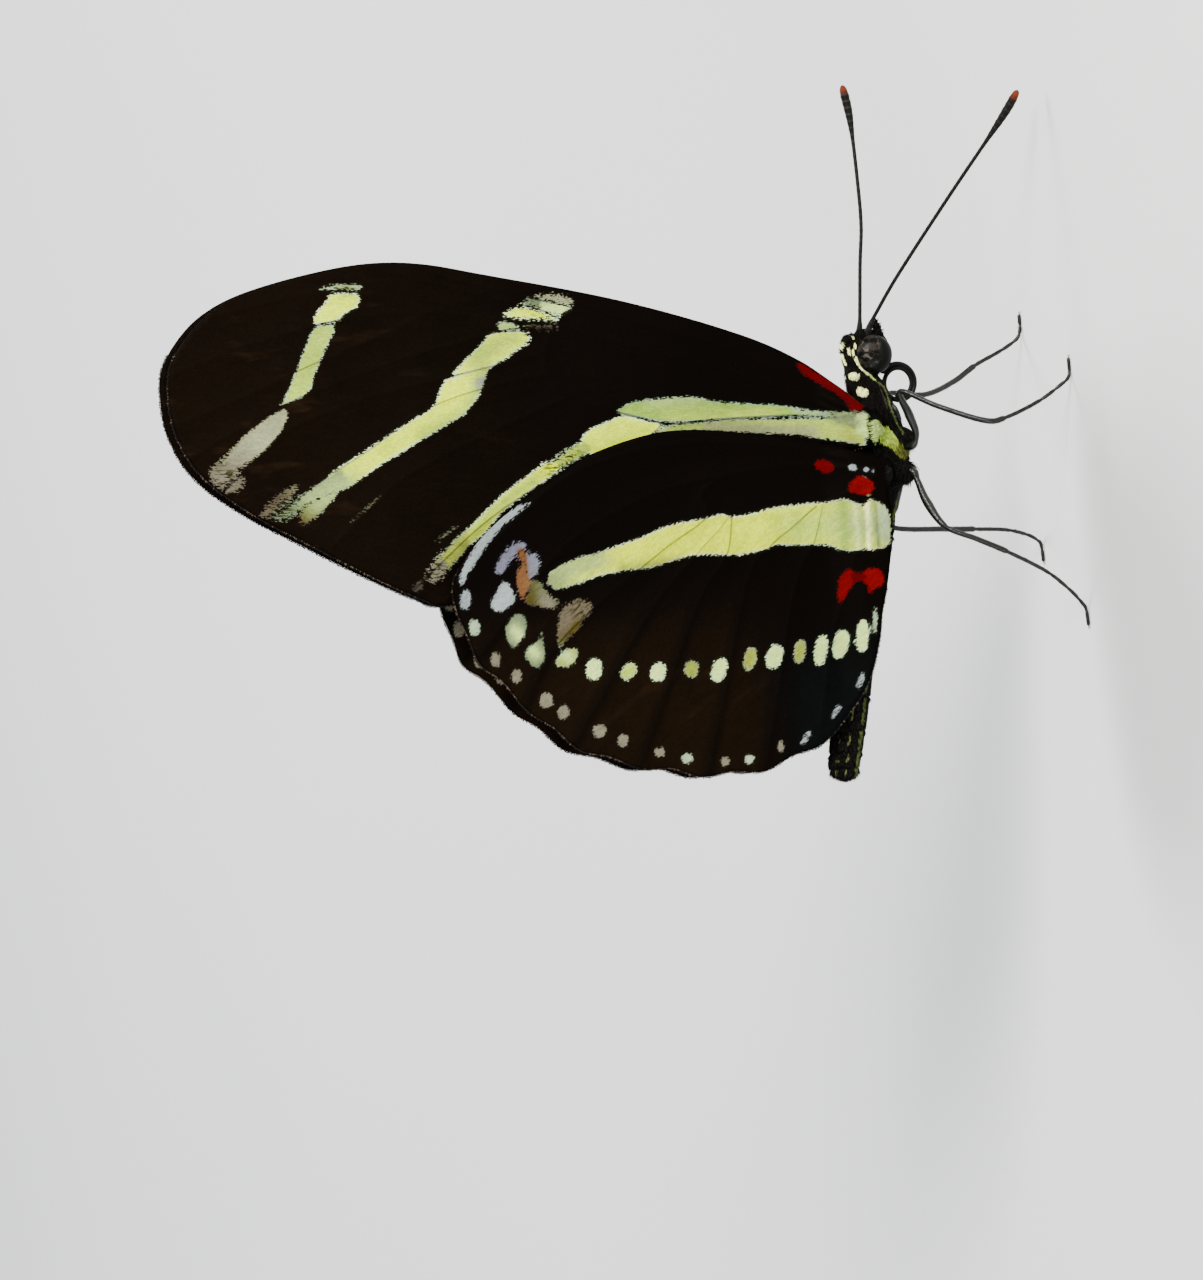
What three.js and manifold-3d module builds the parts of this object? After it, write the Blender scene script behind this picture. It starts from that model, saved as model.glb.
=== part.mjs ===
// Zebra longwing butterfly at rest, wings closed over its back, standing on its four walking legs.
// Millimetres. The head points to +X, the left side to +Y, and the feet stand on the floor at z = 0.
// The origin is on the floor, under the middle of the insect from feeler tips to tail.

import * as THREE from 'three';
import { mergeVertices } from 'three/addons/utils/BufferGeometryUtils.js';
import Module from 'manifold-3d';

const wasm = await Module();
wasm.setup();

// Driving dimensions

const gap = 0.3;            // clearance between pieces that touch on the real insect
const sheet = 0.5;          // wing membrane
const smallest = 0.012;     // slivers that joins and cuts leave are closed up below this size
const ridge = { stem: 0.16, branch: 0.12 };   // how far a vein stands proud of each face of the membrane

const thorax = {
  // x, height of the axis, half height, half width
  stations: [
    [2.7, 11.63, 0.86, 0.8],
    [2.2, 11.6, 0.94, 0.86],
    [1.9, 11.55, 1.04, 0.94],
    [1.4, 11.45, 1.22, 1.1],
    [0.7, 11.3, 1.6, 1.38],
    [-0.5, 11.2, 1.88, 1.55],
    [-1.7, 11.05, 1.97, 1.6],
    [-2.7, 10.9, 1.65, 1.45],
    [-3.5, 10.85, 1.25, 1.2],
    [-4.0, 10.85, 0.95, 0.95],
  ],
};

const abdomen = {
  front: [-4.3, 10.9],
  middle: [-11.0, 12.85],
  tail: [-20.93, 15.0],
  segments: 9,
  halfHeight: 1.18,
  halfWidth: 1.05,
  waist: 0.8,               // share of the full girth where it meets the thorax
  groove: 0.12,             // depth of the ring between two segments
};

const head = { at: [4.35, 0, 11.62], length: 1.45, width: 1.15, height: 1.17, back: 3.05 };
const eye = { at: [4.32, 0.98, 10.97], radius: 1.12, bulge: 0.6 };

const forewing = {
  hinge: [0, 12.0],
  // along the leading edge, round the tip and back along the hind edge, from the hinge
  outline: [
    [1.1, 0], [2.7, 1.6], [4.3, 3.5], [6.2, 7.1], [8.8, 14.3], [10.9, 22.2], [11.9, 26.2], [12.2, 29.5],
    [11.9, 33.0], [11.1, 36.9], [10.1, 39.3], [8.7, 41.0], [6.8, 42.2], [4.4, 42.4], [2.2, 41.9],
    [0.1, 40.6], [-2.1, 38.0], [-4.3, 34.5], [-6.6, 30.7], [-8.0, 28.1], [-8.5, 26.6], [-7.9, 22.0],
    [-6.7, 17.0], [-4.5, 10.6], [-2.1, 4.1], [-1.1, 0],
  ],
  // stems from the hinge, then the branches that leave them, each out past the edge of the wing
  stems: [
    { name: 'Sc', path: [[0.9, 0.6], [5.0, 7.2], [7.8, 14.4], [9.5, 18.6], [11.4, 23.4]] },
    { name: 'R', path: [[0.55, 0.6], [3.3, 6.1], [5.5, 12.1], [6.9, 16.4], [7.8, 18.6], [8.2, 21.6], [9.0, 26.1],
      [9.0, 31.3], [8.0, 36.9], [6.2, 43.0]] },
    { name: 'Cu', path: [[0.3, 0.6], [1.0, 3.6], [1.2, 8.8], [1.2, 11.9], [1.8, 14.1], [2.4, 15.8], [3.5, 18.3],
      [4.7, 19.2], [6.1, 19.3], [7.3, 18.7]] },
    { name: '2A', path: [[-0.5, 0.6], [-1.1, 6.5], [-3.2, 14.2], [-6.2, 21.9], [-8.9, 27.8]] },
  ],
  branches: [
    { name: 'R1', path: [[5.5, 12.1], [7.4, 15.2], [8.7, 17.6], [9.2, 19.3], [10.6, 23.6], [12.2, 27.6]] },
    { name: 'R2', path: [[6.9, 16.4], [8.3, 18.7], [8.9, 20.1], [11.0, 26.4], [12.6, 31.4]] },
    { name: 'R3', path: [[8.5, 23.2], [9.4, 25.1], [10.6, 28.1], [11.3, 31.0], [12.0, 35.2]] },
    { name: 'R4', path: [[9.0, 26.1], [9.9, 28.2], [10.7, 31.5], [10.6, 34.3], [9.3, 41.2]] },
    { name: 'R5', path: [[8.9, 26.4], [7.6, 30.1], [6.1, 34.6], [4.8, 38.0], [3.0, 43.2]] },
    { name: 'M1', path: [[7.4, 18.9], [7.6, 21.3], [6.8, 25.9], [5.9, 29.9], [4.1, 35.7], [1.1, 42.6]] },
    { name: 'M2', path: [[6.0, 19.3], [5.1, 25.0], [4.2, 30.4], [2.7, 35.3], [0.6, 38.0], [-1.3, 40.7]] },
    { name: 'M3', path: [[4.7, 19.2], [4.6, 21.1], [3.4, 26.4], [1.0, 30.7], [-0.5, 33.6], [-3.1, 37.6]] },
    { name: 'CuA1', path: [[3.3, 18.0], [1.6, 22.9], [0.1, 26.8], [-1.2, 29.3], [-5.0, 34.0]] },
    { name: 'CuA2', path: [[1.3, 12.3], [0.5, 13.4], [0.0, 15.0], [-0.7, 17.5], [-2.2, 21.0], [-4.1, 24.3],
      [-8.0, 29.2]] },
  ],
};

const hindwing = {
  hinge: [-2.9, 11.4],
  // up the leading edge, down the scalloped outer edge and forward along the abdomen, from the hinge
  outline: [
    [0.9, 0], [1.4, 1.3], [2.4, 4.8], [3.4, 9.8], [3.6, 13.5], [2.8, 17.3], [1.7, 19.8], [0.1, 22.5],
    [-1.9, 25.1], [-3.7, 26.6], [-4.9, 27.0], [-6.3, 26.8], [-7.7, 26.3], [-9.3, 25.8], [-10.4, 24.5],
    [-12.4, 23.0], [-13.4, 21.6], [-14.9, 20.1], [-15.5, 18.2], [-16.4, 16.3], [-16.5, 14.5],
    [-17.2, 12.6], [-17.0, 10.7], [-17.2, 8.9], [-16.4, 7.0], [-15.8, 5.0], [-13.8, 3.0], [-12.1, 1.9],
    [-10.1, 1.2], [-8.2, 0.8], [-6.4, 0.3], [-4.3, -0.1], [-2.6, -0.3], [-0.9, 0],
  ],
  stems: [
    { name: 'Sc', path: [[0.6, 0.6], [1.9, 4.9], [2.8, 11.0], [2.4, 16.1], [0.7, 20.6], [-4.8, 27.6]] },
    { name: 'Rs', path: [[0.25, 0.6], [0.9, 5.0], [0.8, 8.7], [-0.1, 14.4], [-3.0, 20.3], [-9.7, 27.0]] },
    { name: 'Cu', path: [[-0.15, 0.6], [-1.6, 4.0], [-1.8, 9.5], [-1.0, 11.0], [-0.1, 11.1], [0.7, 9.6]] },
    { name: '2A', path: [[-0.5, 0.6], [-3.3, 1.6], [-6.8, 2.9], [-10.3, 4.1], [-16.5, 5.2]] },
  ],
  branches: [
    { name: 'M1', path: [[-0.9, 11.0], [-1.9, 11.3], [-3.5, 14.0], [-6.8, 18.8], [-9.1, 21.4], [-13.2, 24.5]] },
    { name: 'M2', path: [[-1.5, 10.3], [-2.4, 10.2], [-3.8, 11.8], [-7.0, 15.0], [-15.8, 21.3]] },
    { name: 'M3', path: [[-1.8, 9.5], [-4.2, 10.1], [-6.9, 12.1], [-17.1, 17.0]] },
    { name: 'CuA1', path: [[-1.6, 4.2], [-2.8, 5.9], [-3.7, 7.2], [-5.3, 8.7], [-10.7, 10.4], [-18.0, 12.6]] },
    { name: 'CuA2', path: [[-1.6, 3.8], [-3.9, 4.6], [-6.5, 6.0], [-18.0, 9.0]] },
  ],
};

// How far each wing stands from the plane between the two pairs, by height above the floor
const tuck = {
  forewing: { hinge: 2.0, closed: 0.6, tip: 1.45, from: 11.9, to: 15.0, top: 54.4 },
  hindwing: { hinge: 2.3, closed: 1.75, tip: 2.3, from: 13.0, to: 15.2, top: 38.4 },
};

// Materials

function finish(color, roughness) {
  return new THREE.MeshStandardMaterial({ color, roughness, metalness: 0 });
}

const wingBlack = finish(0x1a1210, 0.75);
const bodyBlack = finish(0x14110f, 0.8);
const legBlack = finish(0x1d1917, 0.5);
const eyeBrown = finish(0x241812, 0.25);

// Solids: a closed geometry becomes a solid that can be joined and cut, and back again

function toSolid(geometry) {
  const bare = geometry.clone();
  bare.deleteAttribute('normal');
  bare.deleteAttribute('uv');
  const merged = mergeVertices(bare, 1e-5);
  return new wasm.Manifold(new wasm.Mesh({
    numProp: 3,
    vertProperties: new Float32Array(merged.attributes.position.array),
    triVerts: new Uint32Array(merged.index.array),
  }));
}

function toGeometry(solid) {
  const pieces = solid.decompose();
  const largest = pieces.reduce((best, piece) => (piece.volume() > best.volume() ? piece : best));
  const data = largest.getMesh();
  const geometry = new THREE.BufferGeometry();
  geometry.setAttribute('position', new THREE.BufferAttribute(new Float32Array(data.vertProperties), 3));
  geometry.setIndex(new THREE.BufferAttribute(new Uint32Array(data.triVerts), 1));
  geometry.computeVertexNormals();
  return geometry;
}

function join(solids) {
  return solids.reduce((sum, solid) => sum.add(solid));
}

function boxBetween(low, high) {
  const box = new THREE.BoxGeometry(high[0] - low[0], high[1] - low[1], high[2] - low[2]);
  box.translate((low[0] + high[0]) / 2, (low[1] + high[1]) / 2, (low[2] + high[2]) / 2);
  return toSolid(box);
}

function ellipsoid(at, radii, around, down) {
  const ball = new THREE.SphereGeometry(1, around, down);
  ball.scale(radii[0], radii[1], radii[2]);
  ball.translate(at[0], at[1], at[2]);
  return toSolid(ball);
}

// A closed skin over rings of equally many points, with a flat end on each side
function skin(rings) {
  const sides = rings[0].length;
  const points = rings.flat();
  const faces = [];
  for (let r = 0; r + 1 < rings.length; r++) {
    for (let s = 0; s < sides; s++) {
      const a = r * sides + s;
      const b = r * sides + (s + 1) % sides;
      faces.push(a, b, a + sides, b, b + sides, a + sides);
    }
  }
  const last = (rings.length - 1) * sides;
  for (let s = 1; s + 1 < sides; s++) {
    faces.push(0, s + 1, s);
    faces.push(last, last + s, last + s + 1);
  }
  const geometry = new THREE.BufferGeometry().setFromPoints(points);
  geometry.setIndex(faces);
  return toSolid(geometry);
}

// Rings square to a path, carried along it without twisting.
// reach(i, angle) gives the section's [sideways, upward] reach at one angle.
function sweep(path, sides, reach) {
  let across = new THREE.Vector3(0, 1, 0);
  const rings = path.map((point, i) => {
    const before = path[Math.max(i - 1, 0)];
    const after = path[Math.min(i + 1, path.length - 1)];
    const along = after.clone().sub(before).normalize();
    across = across.clone().addScaledVector(along, -across.dot(along)).normalize();
    const up = along.clone().cross(across);
    return Array.from({ length: sides }, (_, s) => {
      const angle = (s / sides) * 2 * Math.PI;
      const [a, b] = reach(i, angle);
      return point.clone().addScaledVector(across, a).addScaledVector(up, b);
    });
  });
  return skin(rings);
}

function roundSweep(path, radii, sides) {
  return sweep(path, sides, (i, angle) => [radii[i] * Math.cos(angle), radii[i] * Math.sin(angle)]);
}

function vector(xyz) {
  return new THREE.Vector3(...xyz);
}

function smooth(t) {
  const s = THREE.MathUtils.clamp(t, 0, 1);
  return s * s * (3 - 2 * s);
}

// Thorax and abdomen

function thoraxAt(x) {
  const rows = thorax.stations;
  let i = 0;
  while (i < rows.length - 2 && x < rows[i + 1][0]) i++;
  const t = (x - rows[i][0]) / (rows[i + 1][0] - rows[i][0]);
  const blend = (k) => THREE.MathUtils.lerp(rows[i][k], rows[i + 1][k], t);
  return { z: blend(1), halfHeight: blend(2), halfWidth: blend(3) };
}

// A root on the thorax: a point one gap off its surface and the way straight out from there.
// The angle is measured from straight down, towards the chosen side.
function rootOnThorax(x, angleDeg, side) {
  const ring = thoraxAt(x);
  const angle = THREE.MathUtils.degToRad(angleDeg);
  const out = new THREE.Vector3(0, side * Math.sin(angle) / ring.halfWidth, -Math.cos(angle) / ring.halfHeight);
  out.normalize();
  const y = side * ring.halfWidth * Math.sin(angle);
  const z = ring.z - ring.halfHeight * Math.cos(angle);
  return { point: new THREE.Vector3(x, y, z).addScaledVector(out, gap + 0.05), out };
}

// The stub that a wing's root stands on: its top is level, one gap below the wing
function wingStub(x, z, halfLength, side) {
  const top = z - gap;
  const shape = new THREE.Shape([
    new THREE.Vector2(-halfLength, top),
    new THREE.Vector2(-halfLength * 0.6, top - 0.9),
    new THREE.Vector2(halfLength * 0.6, top - 0.9),
    new THREE.Vector2(halfLength, top),
  ]);
  const inner = 0.6;
  const outer = 2.35;
  const block = new THREE.ExtrudeGeometry(shape, { depth: outer - inner, bevelEnabled: false });
  block.rotateX(Math.PI / 2);
  block.translate(x, side > 0 ? outer : -inner, 0);
  return toSolid(block);
}

function thoraxSolid() {
  const path = thorax.stations.map(([x, z]) => new THREE.Vector3(x, 0, z));
  const barrel = sweep(path, 18, (i, angle) => {
    const [, , halfHeight, halfWidth] = thorax.stations[i];
    return [halfWidth * Math.cos(angle), halfHeight * Math.sin(angle)];
  });
  const stubs = [];
  for (const side of [1, -1]) {
    stubs.push(wingStub(forewing.hinge[0], forewing.hinge[1], 0.95, side));
    stubs.push(wingStub(hindwing.hinge[0], hindwing.hinge[1], 0.8, side));
  }
  return join([barrel, ...stubs]);
}

function abdomenSolid() {
  const axis = new THREE.CatmullRomCurve3([
    new THREE.Vector3(abdomen.front[0], 0, abdomen.front[1]),
    new THREE.Vector3(abdomen.middle[0], 0, abdomen.middle[1]),
    new THREE.Vector3(abdomen.tail[0], 0, abdomen.tail[1]),
  ]);
  const path = [];
  const girth = [];
  const stops = [0, 0.12, 0.5, 0.88];
  for (let n = 0; n < abdomen.segments; n++) {
    for (const stop of stops) {
      const t = (n + stop) / abdomen.segments;
      const taper = Math.sqrt(1 - Math.pow(Math.max(t - 0.66, 0) / 0.56, 2));
      const full = THREE.MathUtils.lerp(abdomen.waist, 1, smooth(t / 0.3)) * taper;
      path.push(axis.getPointAt(t));
      girth.push(full * (1 - (stop === 0 && n > 0 ? abdomen.groove : 0)));
    }
  }
  path.push(axis.getPointAt(1));
  girth.push(0.3);
  return sweep(path, 14, (i, angle) => [
    girth[i] * abdomen.halfWidth * Math.cos(angle),
    girth[i] * abdomen.halfHeight * Math.sin(angle),
  ]);
}

// Head, eyes and mouthparts

function eyeDome(side, grow) {
  const [x, y, z] = eye.at;
  const radius = eye.radius + grow;
  const dome = ellipsoid([x, side * y, z], [radius, eye.bulge + grow, radius], 24, 16);
  const inner = y - grow;
  const keep = side > 0 ? [[x - 3, inner, z - 3], [x + 3, 4, z + 3]] : [[x - 3, -4, z - 3], [x + 3, -inner, z + 3]];
  return dome.intersect(boxBetween(...keep));
}

function headSurface(x, side, y, up) {
  const dx = (x - head.at[0]) / head.length;
  const dy = (side * y) / head.width;
  const dz = up * Math.sqrt(1 - dx * dx - dy * dy);
  const out = new THREE.Vector3(dx / head.length, dy / head.width, dz / head.height).normalize();
  const point = new THREE.Vector3(x, side * y, head.at[2] + dz * head.height);
  return { point: point.addScaledVector(out, gap + 0.05), out };
}

function headSolid() {
  let solid = ellipsoid(head.at, [head.length, head.width, head.height], 24, 16);
  solid = solid.subtract(boxBetween([head.back - 2, -3, 8], [head.back, 3, 15]));
  for (const side of [1, -1]) {
    solid = solid.subtract(eyeDome(side, gap));
    const route = antennaRoute(side);
    const along = route[1].clone().sub(route[0]).normalize();
    const seat = [route[0].clone().addScaledVector(along, -gap - 0.9), route[0].clone().addScaledVector(along, -gap)];
    solid = solid.add(roundSweep(seat, [0.4, 0.36], 10));
  }
  return solid;
}

const antenna = { shaft: 0.25, club: 0.38, tip: 0.16 };
const antennaPoints = {
  right: [[6.2, 0.5, 11.2], [9.1, 1.4, 9.1], [13.5, 2.6, 5.85], [17.7, 3.6, 2.6], [19.4, 4.0, 1.45]],
  left: [[6.25, 0.5, 11.35], [9.8, 1.0, 10.88], [12.3, 1.6, 10.44], [15.2, 2.2, 10.28], [18.7, 3.0, 10.2],
    [20.85, 3.4, 10.4]],
};

function antennaRoute(side) {
  const points = side > 0 ? antennaPoints.left : antennaPoints.right;
  const curve = new THREE.CatmullRomCurve3(points.map(([x, y, z]) => new THREE.Vector3(x, side * y, z)));
  return curve.getSpacedPoints(16);
}

function antennaSolid(side) {
  const route = antennaRoute(side);
  const radii = route.map((_, i) => {
    const t = i / (route.length - 1);
    const club = smooth((t - 0.74) / 0.16);
    return t === 1 ? antenna.tip : THREE.MathUtils.lerp(antenna.shaft, antenna.club, club);
  });
  return roundSweep(route, radii, 8);
}

const palpPath = [[4.4, 0.45, 9.98], [4.9, 0.41, 9.98], [5.45, 0.4, 10.15], [5.9, 0.38, 10.3], [6.22, 0.36, 10.42]];

function palpSolid(side) {
  const root = headSurface(4.25, side, 0.47, -1);
  const path = [root.point, ...palpPath.map(([x, y, z]) => new THREE.Vector3(x, side * y, z))];
  return roundSweep(path, [0.24, 0.25, 0.26, 0.26, 0.22, 0.1], 8);
}

const proboscis = { centre: [2.64, 9.33], outer: 0.95, inner: 0.34, turns: 1.05, radius: 0.25 };

// Straight down from the head, then once round, drawing in after the first fifth of the turn
function proboscisSolid() {
  const steps = 24;
  const [x, z] = proboscis.centre;
  const root = headSurface(x + proboscis.outer, 1, 0, -1);
  const path = [root.point, new THREE.Vector3(x + proboscis.outer, 0, z + 0.5)];
  for (let i = 0; i <= steps; i++) {
    const turn = (i / steps) * proboscis.turns;
    const r = THREE.MathUtils.lerp(proboscis.outer, proboscis.inner, smooth((turn - 0.2) / 0.8));
    const angle = -turn * 2 * Math.PI;
    path.push(new THREE.Vector3(x + r * Math.cos(angle), 0, z + r * Math.sin(angle)));
  }
  return roundSweep(path, path.map((_, i) => (i === path.length - 1 ? 0.12 : proboscis.radius)), 8);
}

// Legs: a root on the thorax, given by x, the angle from straight down, the radius and the length of
// the first straight piece. Then the joints, in order, down to the claws, each with its place and the
// radius there; y is the distance out to the side.

const legs = {
  midleg_right: {
    side: -1, root: [-0.75, 46, 0.34, 0.35],
    joints: [[-0.7, 2.15, 9.15, 0.36], [0.6, 2.55, 9.6, 0.34], [1.95, 2.8, 10.05, 0.28], [0.85, 3.9, 8.1, 0.27],
      [-0.25, 5.0, 5.6, 0.26], [-0.2, 5.1, 4.3, 0.25], [0.6, 5.15, 2.2, 0.25], [1.5, 5.2, 0.7, 0.25],
      [2.0, 5.2, 0.22, 0.25], [3.1, 5.2, 0.22, 0.2]],
  },
  midleg_left: {
    side: 1, root: [-0.75, 46, 0.34, 0.35],
    joints: [[-0.7, 2.15, 9.15, 0.36], [0.6, 2.45, 9.3, 0.34], [1.95, 2.7, 9.4, 0.28], [1.75, 3.4, 6.9, 0.27],
      [2.4, 4.4, 4.8, 0.26], [3.3, 4.9, 3.2, 0.25], [4.0, 5.1, 1.6, 0.25], [4.6, 5.2, 0.5, 0.25],
      [5.1, 5.2, 0.22, 0.25], [6.2, 5.2, 0.22, 0.2]],
  },
  hindleg_right: {
    side: -1, root: [-2.95, 48, 0.34, 0.35],
    joints: [[-3.5, 1.75, 9.2, 0.36], [-4.8, 2.4, 8.9, 0.34], [-6.4, 3.3, 8.1, 0.28], [-7.3, 3.9, 6.4, 0.27],
      [-8.25, 4.2, 4.6, 0.26], [-9.6, 4.4, 2.4, 0.25], [-10.8, 4.5, 1.1, 0.25], [-11.7, 4.5, 0.4, 0.25],
      [-12.1, 4.5, 0.22, 0.25], [-13.1, 4.5, 0.22, 0.2]],
  },
  hindleg_left: {
    side: 1, root: [-2.95, 48, 0.34, 0.35],
    joints: [[-3.6, 1.65, 9.35, 0.36], [-4.8, 2.1, 9.75, 0.34], [-6.1, 2.4, 9.95, 0.28], [-6.5, 3.3, 6.4, 0.27],
      [-6.65, 3.9, 4.4, 0.26], [-6.85, 4.2, 2.4, 0.25], [-7.25, 4.45, 1.0, 0.25], [-7.7, 4.5, 0.35, 0.25],
      [-8.0, 4.5, 0.22, 0.25], [-9.0, 4.5, 0.22, 0.2]],
  },
  foreleg_right: {
    side: -1, root: [1.3, 50, 0.25, 0.1],
    joints: [[1.0, 1.45, 10.15, 0.25], [0.6, 1.55, 10.0, 0.25], [0.15, 1.55, 9.9, 0.2]],
  },
  foreleg_left: {
    side: 1, root: [1.3, 50, 0.25, 0.1],
    joints: [[1.0, 1.45, 10.15, 0.25], [0.6, 1.55, 10.0, 0.25], [0.15, 1.55, 9.9, 0.2]],
  },
};

// Two points close to each joint in place of it, so that a bend is rounded
function roundedBends(points, radii, reach) {
  const path = [points[0]];
  const sizes = [radii[0]];
  for (let i = 1; i + 1 < points.length; i++) {
    for (const [from, to] of [[i, i - 1], [i, i + 1]]) {
      const way = points[to].clone().sub(points[from]);
      const step = Math.min(reach, way.length() / 3);
      path.push(points[from].clone().addScaledVector(way.normalize(), step));
      sizes.push(radii[i]);
    }
  }
  path.push(points[points.length - 1]);
  sizes.push(radii[radii.length - 1]);
  return { path, sizes };
}

function legSolid({ side, root, joints }) {
  const [x, angle, rootRadius, straight] = root;
  const start = rootOnThorax(x, angle, side);
  const points = [start.point, start.point.clone().addScaledVector(start.out, straight)];
  const radii = [rootRadius, rootRadius];
  for (const [along, out, up, radius] of joints) {
    points.push(new THREE.Vector3(along, side * out, up));
    radii.push(radius);
  }
  const { path, sizes } = roundedBends(points, radii, 0.45);
  const leg = roundSweep(path, sizes, 8);
  return leg.subtract(boxBetween([-30, -10, -3], [30, 10, 0]));
}

// Wings

function standOff(kind, z) {
  const w = tuck[kind];
  const closed = smooth((z - w.from) / (w.to - w.from));
  const rise = THREE.MathUtils.clamp((z - w.to) / (w.top - w.to), 0, 1);
  return THREE.MathUtils.lerp(w.hinge, w.closed, closed) + (w.tip - w.closed) * Math.pow(rise, 1.2);
}

// Heights at which a wing's sheet is folded: close together where it bends, wide apart above
function foldHeights(kind, low, high) {
  const w = tuck[kind];
  const heights = [low];
  for (let z = w.from; z < w.to + 0.2; z += 0.4) heights.push(z);
  for (let z = w.to + 2.5; z < high - 2; z += 5) heights.push(z);
  heights.push(high);
  return heights.filter((z, i) => i === 0 || z > heights[i - 1] + 0.05);
}

function slabSolid(kind, heights, side, xLow, xHigh) {
  const face = (offset) => heights.map((z) => new THREE.Vector2(side * (standOff(kind, z) + offset), z));
  const profile = [...face(sheet / 2), ...face(-sheet / 2).reverse()];
  const slab = new THREE.ExtrudeGeometry(new THREE.Shape(profile), { depth: xHigh - xLow, bevelEnabled: false });
  const place = new THREE.Matrix4().makeBasis(vector([0, 1, 0]), vector([0, 0, 1]), vector([1, 0, 0]));
  slab.applyMatrix4(place);
  slab.translate(xLow, 0, 0);
  return toSolid(slab);
}

function outlineSolid(wing) {
  const [hx, hz] = wing.hinge;
  const corners = wing.outline.map(([x, z]) => new THREE.Vector2(x + hx, z + hz));
  const shape = new THREE.Shape([corners[0], ...new THREE.SplineCurve(corners).getPoints(corners.length * 2)]);
  const prism = new THREE.ExtrudeGeometry(shape, { depth: 8, bevelEnabled: false });
  prism.rotateX(Math.PI / 2);
  prism.translate(0, 4, 0);
  return toSolid(prism);
}

// A four-sided vein along the sheet, thickest in its middle and sunk where it leaves its stem
function veinSolid(kind, wing, heights, side, path, stand) {
  const [hx, hz] = wing.hinge;
  const curve = new THREE.SplineCurve(path.map(([x, z]) => new THREE.Vector2(x + hx, z + hz)));
  const dense = curve.getPoints(90);
  const kept = [dense[0]];
  for (let i = 1; i < dense.length - 1; i++) {
    const [low, high] = [dense[i - 1].y, dense[i].y].sort((a, b) => a - b);
    const crossesFold = heights.some((z) => z > low && z <= high);
    const span = dense[i].distanceTo(kept[kept.length - 1]);
    if ((crossesFold && span > 0.3) || span > 2.6) kept.push(dense[i]);
  }
  kept.push(dense[dense.length - 1]);
  const middle = kept.map((p) => new THREE.Vector3(p.x, side * standOff(kind, p.y), p.y));
  return sweep(middle, 4, (i, angle) => {
    const width = THREE.MathUtils.lerp(0.34, 0.24, i / (middle.length - 1));
    const fade = i === 0 ? 0 : smooth((middle[i].z - 12.6) / 2);
    const out = sheet / 2 + THREE.MathUtils.lerp(-0.06, stand, fade);
    return [out * Math.cos(angle), width * Math.sin(angle)];
  });
}

function wingSolid(kind, wing, side) {
  const zs = wing.outline.map(([, z]) => z + wing.hinge[1]);
  const xs = wing.outline.map(([x]) => x + wing.hinge[0]);
  const heights = foldHeights(kind, Math.min(...zs) - 0.5, Math.max(...zs) + 0.5);
  const slab = slabSolid(kind, heights, side, Math.min(...xs) - 1, Math.max(...xs) + 1);
  const veins = [
    ...wing.stems.map(({ path }) => veinSolid(kind, wing, heights, side, path, ridge.stem)),
    ...wing.branches.map(({ path }) => veinSolid(kind, wing, heights, side, path, ridge.branch)),
  ];
  return join([slab, ...veins]).intersect(outlineSolid(wing)).asOriginal().simplify(smallest);
}

// The butterfly

const butterfly = new THREE.Group();

function add(name, solid, material) {
  const mesh = new THREE.Mesh(toGeometry(solid), material);
  mesh.name = name;
  butterfly.add(mesh);
}

add('thorax', thoraxSolid(), bodyBlack);
add('abdomen', abdomenSolid(), bodyBlack);
add('head', headSolid(), bodyBlack);
add('proboscis', proboscisSolid(), legBlack);
for (const [name, side] of [['left', 1], ['right', -1]]) {
  add(`eye_${name}`, eyeDome(side, 0), eyeBrown);
  add(`antenna_${name}`, antennaSolid(side), legBlack);
  add(`palp_${name}`, palpSolid(side), bodyBlack);
  add(`forewing_${name}`, wingSolid('forewing', forewing, side), wingBlack);
  add(`hindwing_${name}`, wingSolid('hindwing', hindwing, side), wingBlack);
}
for (const [name, leg] of Object.entries(legs)) add(name, legSolid(leg), legBlack);

export default butterfly;
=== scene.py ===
# Zebra longwing butterfly at rest with its wings closed, life size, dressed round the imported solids.
# Head to +X, left side to +Y, feet on the floor. Sizes are in millimetres until a piece is finished.

import math

import bmesh
import bpy
import numpy as np
from mathutils import Matrix, Vector
from mathutils.geometry import delaunay_2d_cdt


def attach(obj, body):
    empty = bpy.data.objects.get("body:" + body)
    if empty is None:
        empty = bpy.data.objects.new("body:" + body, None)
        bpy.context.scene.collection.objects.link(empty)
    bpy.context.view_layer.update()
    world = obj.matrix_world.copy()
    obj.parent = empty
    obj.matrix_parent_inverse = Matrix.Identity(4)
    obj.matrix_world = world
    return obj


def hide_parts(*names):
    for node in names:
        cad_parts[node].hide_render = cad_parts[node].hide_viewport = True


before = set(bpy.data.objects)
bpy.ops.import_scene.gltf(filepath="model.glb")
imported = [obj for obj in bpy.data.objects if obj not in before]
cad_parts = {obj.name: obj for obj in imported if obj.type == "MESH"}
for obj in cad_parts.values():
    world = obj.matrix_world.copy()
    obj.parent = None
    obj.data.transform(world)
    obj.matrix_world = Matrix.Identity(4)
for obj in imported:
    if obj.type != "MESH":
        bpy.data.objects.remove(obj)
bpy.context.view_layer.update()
mm = 0.001
sides = {"right": -1, "left": 1}


# Camera, floor and light

view = {
    "aim": (-11.39, 0.0, 29.11),      # behind the middle of the picture
    "distance": 700.0,
    "lookDown": 13.0,                 # degrees below level
    "roll": 5.0,                      # degrees, on top of the quarter turn that puts the head up
    "pictureHeight": 1280,            # pixels
    "pixelsPerMm": 16.667,            # at the aim point
    "sensor": 36,
    "clip": (0.02, 20),               # metres
}

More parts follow.
